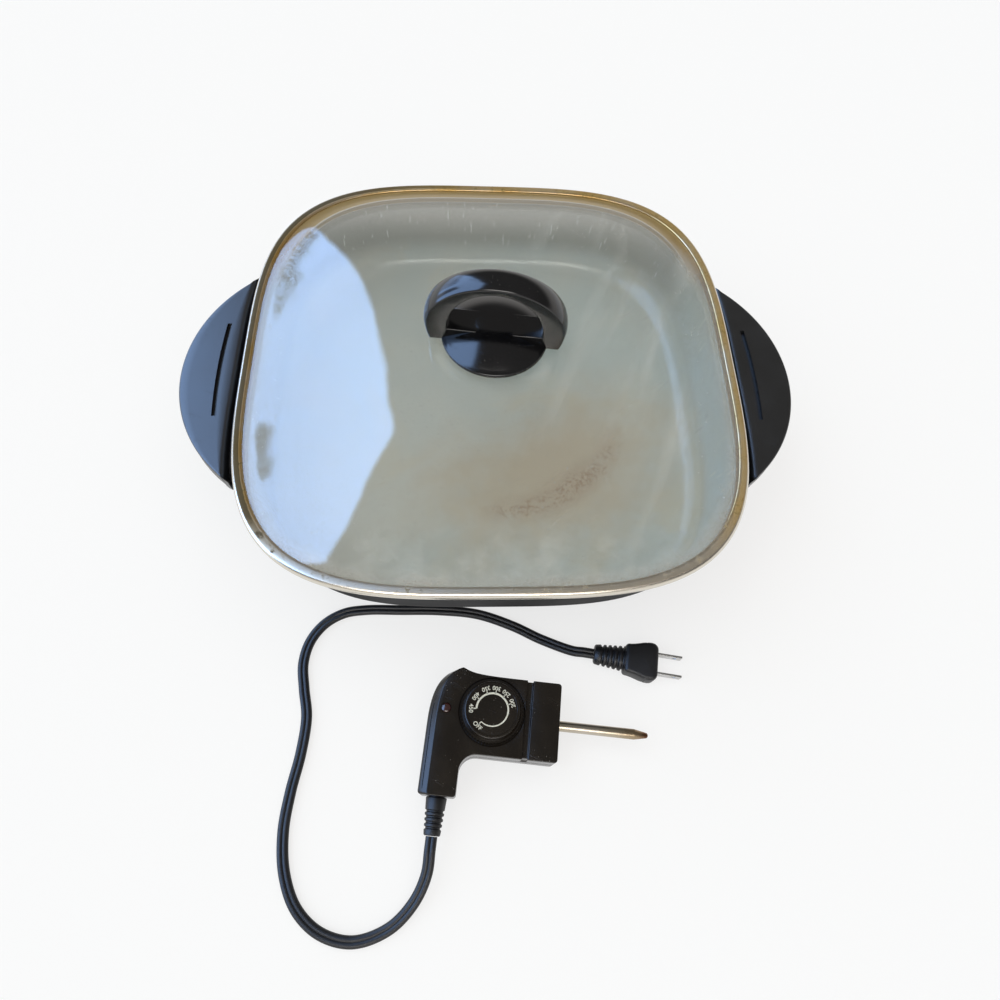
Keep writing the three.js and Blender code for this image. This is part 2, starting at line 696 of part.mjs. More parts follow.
// Loop over a domed disc, with a finger gap through it
function lidHandle() {
  const base = apex + 2 * clearance + gasketThickness;
  const disc = turned([
    [0, base], [dishRadius - dishEdge / 2, base], [dishRadius, base + dishEdge / 3],
    [dishRadius, base + dishEdge], [dishRadius * 0.82, base + dishEdge + dishRise * 0.36],
    [dishRadius * 0.6, base + dishEdge + dishRise * 0.68],
    [dishRadius * 0.3, base + dishEdge + dishRise * 0.93], [0, base + dishEdge + dishRise],
  ], 2 * roundSides);
  const over = (height) => base + height;
  const ellipse = (half, height, from, steps) => Array.from({ length: steps + 1 }, (_, i) => {
    const angle = (Math.PI * i) / steps;
    return [half * Math.cos(angle), over(from + height * Math.sin(angle))];
  });
  const loop = outline([
    [-loopFootHalf, over(loopFootLift)], [loopFootHalf, over(loopFootLift)],
    [loopHalf - loopFootLift / 2, over(loopShoulder / 2)],
    ...ellipse(loopHalf, loopHeight - loopShoulder, loopShoulder, 16),
    [-loopHalf + loopFootLift / 2, over(loopShoulder / 2)],
  ]);
  const gapTop = loopHeight - loopTopWall;
  const gapCrown = ellipse(gapHalf, gapTop - gapFloor - loopFootLift, gapFloor + loopFootLift, 12);
  loop.holes.push(outline([[-gapHalf, over(gapFloor)], ...gapCrown.reverse(), [gapHalf, over(gapFloor)]]));
  const strap = raised(loop, -loopWidth / 2, loopWidth / 2, loopRound).rotateX(Math.PI / 2);
  const bore = upright(lidScrewRadius + clearance, 0, 0, base - overrun, base + lidScrewReach + clearance,
    roundSides);
  const waist = block([-loopHalf, loopHalf], [-loopWidth, loopWidth], [base, over(loopFootLift)]);
  return cut(join(disc, cut(strap, waist)), bore);
}

function ring(outer, inner, from, to) {
  return turned([[inner, from], [outer, from], [outer, to], [inner, to]]);
}

// Plan of the control's housing, set in by a margin
function housingPlan(inset = 0) {
  const [left, right] = [elbowLeft + inset, headFront - inset];
  const [low, high] = [probeOffset - headHalf + inset, probeOffset + headHalf - inset];
  const bend = innerBend + inset;
  const leg = legRight - inset;
  const corner = Math.max(housingEdge - inset / 2, housingEdge / 3);
  const [span, rise] = [elbowPeakX - left, elbowPeakY - high];
  return outline([
    [leg - corner, legEnd + inset], [leg, legEnd + inset + corner],
    ...arc([leg + bend, low - bend], bend, 180, 90),
    [right - corner, low], [right, low + corner], [right, high - corner], [right - corner, high],
    [elbowPeakX + elbowRise, high + inset * 0.2],
    [elbowPeakX, elbowPeakY - inset * 1.2],
    [elbowPeakX - span * 0.39, elbowPeakY - rise * 1.33 - inset],
    [left + span * 0.22, high - housingEdge * 2.6], [left + span * 0.06, high - housingEdge * 7.2],
    [left, probeOffset - innerBend / 2], [left, legEnd + inset + corner], [left + corner, legEnd + inset],
  ]);
}

const postFront = headFront - housingWall - contactLength - screwPostRadius - embed;
const postSide = headHalf - housingWall - screwPostRadius;
const screwPosts = [
  [postFront, probeOffset + postSide], [postFront, probeOffset - postSide],
  [elbowLeft + housingWall + screwPostRadius + embed, elbowPeakY - 5 * screwPostRadius],
];
const shellInside = (from, to) => raised(housingPlan(housingWall), from, to);

// Cuts that both halves of the housing share: probe hole, pin holes and the cord's hole
function housingHoles() {
  const [from, to] = [headFront - housingWall - overrun, headFront + overrun];
  return [
    lengthwise(probeRadius + clearance, from, to, probeOffset, probeAxis, roundSides),
    ...[-1, 1].map((side) => lengthwise(pinHoleRadius, from, to, probeOffset + side * pinHalf, probeAxis,
      roundSides)),
    upright(reliefNeck + reliefNeckGap, 0, 0, -overrun, overrun, roundSides)
      .rotateX(Math.PI / 2).translate(cordX, legEnd, probeAxis),
  ];
}

function housingTop() {
  const split = probeAxis + clearance / 2;
  const outer = raised(housingPlan(), 0, housingHeight, housingEdge);
  const half = common(outer, block([-2 * dialRadius - overrun, headFront + overrun],
    [legEnd - overrun, elbowPeakY + overrun], [split, housingHeight + overrun]));
  const room = shellInside(0, housingHeight - housingWall);
  const posts = common(join(...screwPosts.map(([x, y]) =>
    upright(screwPostRadius, x, y, split + postLift, housingHeight - housingWall / 2))), half);
  const screwHoles = screwPosts.map(([x, y]) =>
    upright(housingScrewRadius + clearance, x, y, 0, housingHeight - 1.5 * housingWall));
  const seat = upright(dialRadius + dialSeatMargin, 0, 0, housingHeight - dialSeat, housingHeight + overrun,
    2 * roundSides);
  const shaftHole = upright(shaftRadius + runningGap, 0, 0, 0, housingHeight + overrun, roundSides);
  const lensHole = upright(lensRadius + clearance, lampX, lampY, 0, housingHeight + overrun, roundSides);
  const grooveTo = grooveFrom + grooveWidth;
  const groove = cut(
    block([grooveFrom, grooveTo], [-2 * headHalf, 2 * headHalf], [split - overrun, housingHeight + overrun]),
    block([grooveFrom - overrun, grooveTo + overrun],
      [probeOffset - headHalf + grooveDepth / 2, probeOffset + headHalf - grooveDepth / 2],
      [0, housingHeight - grooveDepth]),
  );
  const bevel = new THREE.ExtrudeGeometry(outline([
    [-sideChamfer, sideChamfer], [-sideChamfer, -sideChamfer], [sideChamfer, sideChamfer],
  ]), { depth: 3 * headHalf, bevelEnabled: false }).rotateX(Math.PI / 2)
    .translate(elbowLeft, elbowPeakY - 2 * sideChamfer, housingHeight);
  return cut(join(cut(half, room, bevel), posts), ...screwHoles, ...housingHoles(), seat, shaftHole, lensHole,
    groove);
}

function housingBottom() {
  const split = probeAxis - clearance / 2;
  const outer = raised(housingPlan(), 0, housingHeight, housingEdge);
  const half = common(outer, block([-2 * dialRadius - overrun, headFront + overrun],
    [legEnd - overrun, elbowPeakY + overrun], [0, split]));
  const posts = common(join(...screwPosts.map(([x, y]) => upright(screwPostRadius, x, y, 0,
    split + postLift - clearance))), raised(housingPlan(housingWall + clearance), 0, housingHeight));
  const heads = screwPosts.flatMap(([x, y]) => [
    upright(housingScrewHead + clearance, x, y, -overrun, housingScrewHeadHeight + embed),
    upright(housingScrewRadius + clearance, x, y, -overrun, housingHeight),
  ]);
  return cut(join(cut(half, shellInside(housingWall, housingHeight)), posts), ...heads, ...housingHoles());
}

function housingScrew([x, y]) {
  return screw(housingScrewRadius, housingScrewHead, housingScrewHeadHeight, housingScrewReach)
    .translate(x, y, embed - clearance);
}

// Hollow probe with a closed conical tip, open at its inner end
function probeTube() {
  const length = probeTail + probeLength;
  return turned([
    [probeBore, 0], [probeRadius, 0], [probeRadius, length - probeCone], [probeTip, length - probeTip / 2],
    [probeTip / 2, length], [0, length], [0, length - probeCone], [probeBore, length - probeCone - probeBore],
  ]).rotateY(Math.PI / 2);
}

function probeAlong(geometry, from) {
  return geometry.translate(from, probeOffset, probeAxis);
}

function knurledDial() {
  const bottom = housingHeight - dialSeat + clearance;
  const top = bottom + dialHeight;
  const rimPoints = Array.from({ length: dialGripCount * 2 }, (_, i) => {
    const radius = dialRadius - (i % 2) * dialGripDepth;
    const angle = (Math.PI * i) / dialGripCount;
    return [radius * Math.cos(angle), radius * Math.sin(angle)];
  });
  const skirt = raised(outline(rimPoints), bottom, bottom + dialSkirt);
  const neck = dialRadius - dialGripDepth - clearance;
  const crown = turned([
    [0, bottom], [neck, bottom], [neck, bottom + dialSkirt], [dialFace + clearance, top - 2 * dialGripDepth],
    [dialFace, top - dialGripDepth], [dialFace - dialGripDepth, top], [0, top],
  ], 2 * roundSides);
  const bore = upright(shaftRadius + clearance, 0, 0, bottom - overrun, top - dialSkirt, roundSides);
  return cut(join(skirt, crown), bore);
}

function dialShaft() {
  const top = housingHeight - dialSeat + dialHeight - dialSkirt;
  const foot = baseTop + leafLift + leafThickness + clearance;
  return turned([
    [0, foot], [shaftRadius * 0.7, foot], [shaftRadius, foot + shaftRadius / 2], [shaftRadius, top], [0, top],
  ]);
}

// Spring clip that keeps the shaft in the upper shell
function dialClip() {
  const from = housingHeight - housingWall - clearance - clipThickness;
  const disc = ring(clipRadius, shaftRadius + clearance, from, from + clipThickness);
  const gap = block([0, clipRadius + overrun], [-shaftRadius / 2, shaftRadius / 2],
    [from - overrun, from + overrun]);
  return cut(disc, gap);
}

// Square spring contact, open towards the pin
function socketContact(side) {
  const to = headFront - housingWall - clearance;
  const [y, z] = [probeOffset + side * pinHalf, probeAxis];
  const around = (half) => [[y - half, y + half], [z - half, z + half]];
  const [outerY, outerZ] = around(contactHalf);
  const [innerY, innerZ] = around(contactBore);
  return cut(block([to - contactLength, to], outerY, outerZ),
    block([to - contactLength + contactHalf / 2, to + overrun], innerY, innerZ));
}

// Strain relief: neck through the housing's wall, flange inside and a ribbed taper outside
function strainRelief() {
  const wall = housingWall + 2 * clearance;
  const flange = wall + reliefFlangeThickness;
  const profile = [[0, -flange], [reliefFlange, -flange], [reliefFlange, -wall], [reliefNeck, -wall],
    [reliefNeck, 0], [reliefRoot, 0]];
  const pitch = (reliefLength * 0.6) / reliefRibs;
  const radiusAt = (z) => reliefRoot + ((reliefTip - reliefRoot) * z) / reliefLength;
  for (let i = 0; i < reliefRibs; i += 1) {
    const z = reliefLength * 0.36 + i * pitch;
    profile.push([radiusAt(z), z], [radiusAt(z) - reliefRibHeight, z + pitch * 0.2],
      [radiusAt(z) - reliefRibHeight, z + pitch * 0.45], [radiusAt(z + pitch * 0.6), z + pitch * 0.6]);
  }
  profile.push([reliefTip, reliefLength], [0, reliefLength]);
  return turned(profile, bootSides).rotateX(Math.PI / 2).translate(cordX, legEnd - clearance, probeAxis);
}

function plugBody() {
  const half = plugWidth / 2;
  const face = plugLength / 2;
  const grip = raised(outline([
    [-face, -half + plugWaist], [face / 2, -half], [face - plugRound, -half], [face, -half + plugRound],
    [face, half - plugRound], [face - plugRound, half], [face / 2, half], [-face, half - plugWaist],
  ]), 0, plugHeight, plugRound);
  const profile = [[0, 0], [bootRoot, 0]];
  const pitch = bootLength / (bootRibs + 0.5);
  const radiusAt = (z) => bootRoot + ((bootTip - bootRoot) * z) / bootLength;
  for (let i = 0; i < bootRibs; i += 1) {
    const z = pitch * (i + 0.3);
    profile.push([radiusAt(z), z], [radiusAt(z) - reliefRibHeight, z + pitch * 0.2],
      [radiusAt(z) - reliefRibHeight, z + pitch * 0.5], [radiusAt(z + pitch * 0.7), z + pitch * 0.7]);
  }
  profile.push([bootTip, bootLength], [0, bootLength]);
  const boot = turned(profile, bootSides).rotateY(-Math.PI / 2).translate(embed - face, 0, plugHeight / 2);
  const slots = [-1, 1].map((side) => bladeBlock(side, clearance));
  return cut(join(grip, boot), ...slots);
}

function bladeBlock(side, margin) {
  const y = (side * bladeSpacing) / 2;
  const to = plugLength / 2 + bladeLength;
  return block([plugLength / 2 - bladeRoot - margin, to + (margin > 0 ? overrun : 0)],
    [y - bladeSheet / 2 - margin, y + bladeSheet / 2 + margin],
    [plugHeight / 2 - bladeWidth / 2 - margin, plugHeight / 2 + bladeWidth / 2 + margin]);
}

function plugBlade(side) {
  const hole = new THREE.CylinderGeometry(bladeSheet, bladeSheet, plugWidth, smallSides)
    .translate(plugLength / 2 + bladeLength * 0.72, 0, plugHeight / 2);
  return cut(bladeBlock(side, 0), hole);
}

// The flat cord, from the strain relief's mouth to the plug's boot
function cordTube(controlFrame, plugFrame) {
  const local = (frame, x, y, z) => new THREE.Vector3(x, y, z).applyMatrix4(frame.matrix);
  const mouth = legEnd - clearance - reliefLength - clearance;
  const start = local(controlFrame, cordX, mouth, probeAxis);
  const lead = local(controlFrame, cordX, mouth - cordWidth, probeAxis);
  const bootEnd = -plugLength / 2 + embed - bootLength - clearance;
  const end = local(plugFrame, bootEnd, 0, plugHeight / 2);
  const approach = local(plugFrame, bootEnd - cordWidth, 0, plugHeight / 2);
  const before = local(plugFrame, bootEnd - 2 * cordWidth, 0, plugHeight / 2 - embed);
  const route = new THREE.CatmullRomCurve3([
    start, lead, ...cordRoute.map(([x, ahead, z]) => new THREE.Vector3(x, -lipHalf - ahead, z)),
    before, approach, end,
  ], false, 'centripetal');
  const flatsOut = 1 / Math.cos(Math.PI / cordSides);
  const section = outline(Array.from({ length: cordSides }, (_, i) => {
    const angle = (2 * Math.PI * (i + 0.5)) / cordSides;
    return [(cordThickness / 2) * flatsOut * Math.sin(angle), (cordWidth / 2) * flatsOut * Math.cos(angle)];
  }));
  return new THREE.ExtrudeGeometry(section, { steps: cordSteps, bevelEnabled: false, extrudePath: route });
}

// Assembly
const skillet = new THREE.Group();

const base = new THREE.Group();
base.add(piece('pan', pan(), finishes.ceramic));
base.add(piece('heating_element', elementRod(), finishes.sheath));
base.add(piece('socket_guard', socketGuard(), finishes.phenolic));
for (const [label, side] of [['front', -1], ['back', 1]]) {
  base.add(piece(`insulator_${label}`, bead(side), finishes.insulator));
  base.add(piece(`terminal_pin_${label}`, terminalPin(side), finishes.steel));
  const fixing = piece(`socket_screw_${label}`,
    screw(guardScrewRadius, guardScrewHead, guardScrewHeadHeight, guardScrewReach), finishes.steel);
  fixing.rotation.y = -Math.PI / 2;
  fixing.position.set(guardFace + clearance + guardScrewHeadHeight, side * lugSide, elementAxis);
  base.add(fixing);
}
for (const [hand, turn] of [['right', 0], ['left', Math.PI]]) {
  const handle = new THREE.Group();
  handle.rotation.z = turn;
  handle.add(piece(`${hand}_handle`, sideHandle(Math.cos(turn) * slotShift), finishes.phenolic));
  for (const [label, side] of [['front', -1], ['back', 1]]) {
    const fixing = piece(`${hand}_leg_screw_${label}`,
      screw(legScrewRadius, legScrewHead, legScrewHeadHeight,
        bossHeight + flangeThickness + panFloor / 4), finishes.steel);
    const seat = floorBottom - bossHeight - clearance - flangeThickness;
    fixing.position.set(legScrewHalf, (hand === 'right' ? side : -side) * legScrewSide,
      seat - clearance - legScrewHeadHeight);
    handle.add(fixing);
  }
  base.add(handle);
}
skillet.add(base);

const lid = new THREE.Group();
lid.add(piece('lid_glass', lidGlass(), finishes.glass));
lid.add(piece('lid_rim', lidRim(), finishes.stainless));
const handle = piece('lid_handle', lidHandle(), finishes.gloss);
handle.rotation.z = degrees(handleTurn);
lid.add(handle);
lid.add(piece('lid_handle_gasket', ring(gasketRadius, lidScrewRadius + 2 * clearance, apex + clearance,
  apex + clearance + gasketThickness), finishes.silicone));
const washerTop = apex - glassThickness - clearance;
lid.add(piece('lid_handle_washer', ring(lidWasherRadius, lidScrewRadius + clearance,
  washerTop - lidWasherThickness, washerTop), finishes.steel));
const lidScrew = piece('lid_handle_screw', screw(lidScrewRadius, lidScrewHead, lidScrewHeadHeight,
  lidWasherThickness + glassThickness + gasketThickness + lidScrewReach + 2 * clearance), finishes.steel);
lidScrew.position.z = washerTop - lidWasherThickness - clearance - lidScrewHeadHeight;
lid.add(lidScrew);
skillet.add(lid);

const control = new THREE.Group();
control.position.set(controlAside, -lipHalf - controlAhead, 0);
control.rotation.z = degrees(controlTurn);
control.updateMatrix();
control.add(piece('housing_top', housingTop(), finishes.gloss));
control.add(piece('housing_bottom', housingBottom(), finishes.gloss));
['head_back', 'head_front', 'elbow'].forEach((label, i) => {
  control.add(piece(`housing_screw_${label}`, housingScrew(screwPosts[i]), finishes.steel));
});
control.add(piece('probe_tube', probeAlong(probeTube(), headFront - probeTail), finishes.stainless));
control.add(piece('probe_rod', probeAlong(turned([
  [0, 0], [probeRodRadius, 0], [probeRodRadius, probeRodTail + probeTail + probeLength - 2 * probeCone],
  [0, probeRodTail + probeTail + probeLength - 2 * probeCone],
], smallSides).rotateY(Math.PI / 2), headFront - probeTail - probeRodTail), finishes.steel));
control.add(piece('probe_collar', probeAlong(turned([
  [probeRadius + clearance, 0], [collarRadius, 0], [collarRadius, collarThickness],
  [probeRadius + clearance, collarThickness],
]).rotateY(Math.PI / 2), headFront - housingWall - clearance - collarThickness), finishes.steel));
for (const [label, side] of [['front', -1], ['back', 1]]) {
  control.add(piece(`socket_contact_${label}`, socketContact(side), finishes.brass));
}

// Thermostat: base on the floor of the housing, post, bimetal blade and contact leaf
control.add(piece('thermostat_base', block([baseFrom, baseTo], [-baseHalf, baseHalf - 2 * housingWall],
  [baseBottom, baseTop]), finishes.insulator));
const postX = baseFrom + 2 * postRadius;
control.add(piece('contact_post', upright(postRadius, postX, 0, baseTop + clearance,
  baseTop + clearance + postHeight), finishes.steel));
const leafStrip = (lift, thickness, look, name) => piece(name, cut(
  block([postX - leafHalf, postX - leafHalf + leafLength], [-leafHalf, leafHalf],
    [baseTop + lift, baseTop + lift + thickness]),
  upright(postRadius + clearance, postX, 0, 0, housingHeight),
), look);
control.add(leafStrip(bladeLift, bladeThickness, finishes.steel, 'bimetal_blade'));
control.add(leafStrip(leafLift, leafThickness, finishes.brass, 'contact_leaf'));

// Pilot light under its lens, and the short wires that feed it and the thermostat
control.add(piece('pilot_lens', turned([
  [0, housingHeight - housingWall], [lensRadius, housingHeight - housingWall], [lensRadius, housingHeight],
  [lensRadius / 2, housingHeight + lensCrown * 0.8], [0, housingHeight + lensCrown],
]).translate(lampX, lampY, 0), finishes.lens));
const lampTop = housingHeight - housingWall - clearance;
control.add(piece('pilot_lamp', upright(lampRadius, lampX, lampY, lampTop - lampLength, lampTop),
  finishes.glass));
control.add(piece('pilot_resistor', new THREE.CylinderGeometry(resistorRadius, resistorRadius, resistorLength,
  smallSides).translate(lampX, lampY - resistorDrop, baseBottom + resistorRadius), finishes.insulator));
control.add(piece('cord_clamp', block([cordX - clampLength / 2, cordX + clampLength / 2],
  [clampY - clampWidth / 2, clampY + clampWidth / 2], [baseBottom, baseBottom + clampHeight]),
finishes.phenolic));
for (const [label, side] of [['live', -1], ['neutral', 1]]) {
  control.add(piece(`${label}_lead`, new THREE.CylinderGeometry(wireRadius, wireRadius,
    resistorDrop + clampWidth, smallSides)
    .translate(cordX + (side * wireSpacing) / 2, clampY + (resistorDrop + clampWidth) / 2,
      baseBottom + clampHeight + clearance + wireRadius), finishes.rubber));
}

control.add(piece('strain_relief', strainRelief(), finishes.rubber));

control.add(piece('dial', knurledDial(), finishes.phenolic));
control.add(piece('dial_shaft', dialShaft(), finishes.steel));
control.add(piece('dial_clip', dialClip(), finishes.steel));
skillet.add(control);

const plug = new THREE.Group();
plug.position.set(plugX, -lipHalf - plugAhead, 0);
plug.rotation.z = degrees(plugTurn);
plug.updateMatrix();
plug.add(piece('plug_body', plugBody(), finishes.rubber));
plug.add(piece('plug_blade_front', plugBlade(-1), finishes.steel));
plug.add(piece('plug_blade_back', plugBlade(1), finishes.steel));
skillet.add(plug);
skillet.add(piece('cord', cordTube(control, plug), finishes.rubber));

// The origin is the middle of the base of everything but the free cord and its plug
skillet.updateMatrixWorld(true);
const free = new Set(['cord', 'plug_body', 'plug_blade_front', 'plug_blade_back']);
const extent = new THREE.Box3();
skillet.traverse((node) => {
  if (node.isMesh && !free.has(node.name)) extent.union(new THREE.Box3().setFromObject(node, true));
});
const middle = extent.getCenter(new THREE.Vector3());
skillet.position.set(-middle.x, -middle.y, -extent.min.z);
skillet.updateMatrixWorld(true);

export default skillet;
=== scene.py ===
"""Looks of a square electric skillet with a lift-off glass lid and an unplugged heat control.

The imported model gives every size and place. This script models the visible pieces finely around it,
gives every piece its finish, lays the cord and sets the stage, the lamps and the camera.
Lengths are in metres, +Z is up, +Y points away from the user.
"""

from __future__ import annotations

import logging
import math
from contextlib import contextmanager
from dataclasses import dataclass, field
from enum import Enum
from functools import lru_cache
from typing import Callable, ClassVar, Iterator, Optional, Sequence, Union

import bmesh
import bpy
from mathutils import Matrix, Vector

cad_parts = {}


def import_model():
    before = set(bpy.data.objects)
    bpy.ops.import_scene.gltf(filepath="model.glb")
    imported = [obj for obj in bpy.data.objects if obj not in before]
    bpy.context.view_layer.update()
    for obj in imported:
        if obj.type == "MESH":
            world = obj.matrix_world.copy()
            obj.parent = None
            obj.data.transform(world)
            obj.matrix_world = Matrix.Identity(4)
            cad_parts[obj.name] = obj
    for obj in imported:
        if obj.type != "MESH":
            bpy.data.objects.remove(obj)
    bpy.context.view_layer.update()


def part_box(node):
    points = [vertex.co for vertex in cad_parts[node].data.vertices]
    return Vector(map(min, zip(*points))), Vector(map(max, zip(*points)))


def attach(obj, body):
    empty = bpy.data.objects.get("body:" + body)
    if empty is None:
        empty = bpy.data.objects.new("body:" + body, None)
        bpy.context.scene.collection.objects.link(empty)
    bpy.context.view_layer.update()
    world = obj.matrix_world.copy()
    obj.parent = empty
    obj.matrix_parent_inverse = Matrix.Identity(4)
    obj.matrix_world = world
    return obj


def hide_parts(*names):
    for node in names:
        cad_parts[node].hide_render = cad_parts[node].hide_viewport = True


LOG = logging.getLogger("skillet")

MM = 0.001
FIT = 0.3 * MM  # gap between two pieces that touch, as in the frame
WELD = 0.002 * MM  # points nearer than this are one point
SLIVER = 0.01 * MM  # faces thinner than this are the waste of a cut
CORNER_POWER = 3.5  # power of the superellipse that rounds the square pan and lid
QUARTER = math.pi / 2
FLAT = 1.0  # degrees up to which two faces count as one
LIGHT_PATH = "ShaderNodeLightPath"

Object = bpy.types.Object
Material = bpy.types.Material
Point = tuple[float, float]
Triple = tuple[float, float, float]
Colour = Triple
Value = Union[float, "Signal"]


# Shader kit


def paint(red: int, green: int, blue: int) -> Colour:
    """Turn a display colour, 0 to 255 a channel, into the linear values that a shader takes."""
    channels = (c / 255 for c in (red, green, blue))
    return tuple(c / 12.92 if c <= 0.04045 else ((c + 0.055) / 1.055) ** 2.4 for c in channels)


class Signal:
    """A shader socket that takes part in Python sums."""

    def __init__(self, surface: "Surface", socket: bpy.types.NodeSocket) -> None:
        """Keep the socket and the surface whose nodes the sums join."""
        self.surface = surface
        self.socket = socket

    def _math(self, operation: str, *others: Value, swapped: bool = False) -> "Signal":
        """Add a Math node.

        Args:
            operation: The node's operation.
            others: The other operands.
            swapped: Whether this signal is the second operand.

        Returns:
            The node's value.
        """
        operands = [*others, self] if swapped else [self, *others]
        return self.surface.node("ShaderNodeMath", {"operation": operation}, dict(enumerate(operands)))

    def __add__(self, other: Value) -> "Signal":
        """Return the sum."""
        return self._math("ADD", other)

    __radd__ = __add__

    def __sub__(self, other: Value) -> "Signal":
        """Return the difference."""
        return self._math("SUBTRACT", other)

    def __rsub__(self, other: Value) -> "Signal":
        """Return the difference, this signal taken away."""
        return self._math("SUBTRACT", other, swapped=True)

    def __mul__(self, other: Value) -> "Signal":
        """Return the product."""
        return self._math("MULTIPLY", other)

    __rmul__ = __mul__

    def __truediv__(self, other: Value) -> "Signal":
        """Return the quotient."""
        return self._math("DIVIDE", other)

    def __pow__(self, other: Value) -> "Signal":
        """Return the power."""
        return self._math("POWER", other)

    def __abs__(self) -> "Signal":
        """Return the size without its sign."""
        return self._math("ABSOLUTE")

    def over(self, other: Value) -> "Signal":
        """Return the larger of the two."""
        return self._math("MAXIMUM", other)

    def under(self, other: Value) -> "Signal":
        """Return the smaller of the two."""
        return self._math("MINIMUM", other)

    def step(self, low: float, high: float) -> "Signal":
        """Rise smoothly from 0 at low to 1 at high, or fall where low is the larger.

        Args:
            low: Where the result is 0.
            high: Where the result is 1.

        Returns:
            The smoothed step.
        """
        ends = (low, high, 0.0, 1.0) if low < high else (high, low, 1.0, 0.0)
        inputs = dict(zip(("From Min", "From Max", "To Min", "To Max"), ends), Value=self)
        settings = {"interpolation_type": "SMOOTHSTEP", "clamp": True}
        return self.surface.node("ShaderNodeMapRange", settings, inputs)


Tone = Union[Colour, Signal]


def square_size(x: Value, y: Value) -> Value:
    """Return the half width of the rounded square that goes through a point."""
    return (abs(x) ** CORNER_POWER + abs(y) ** CORNER_POWER) ** (1 / CORNER_POWER)


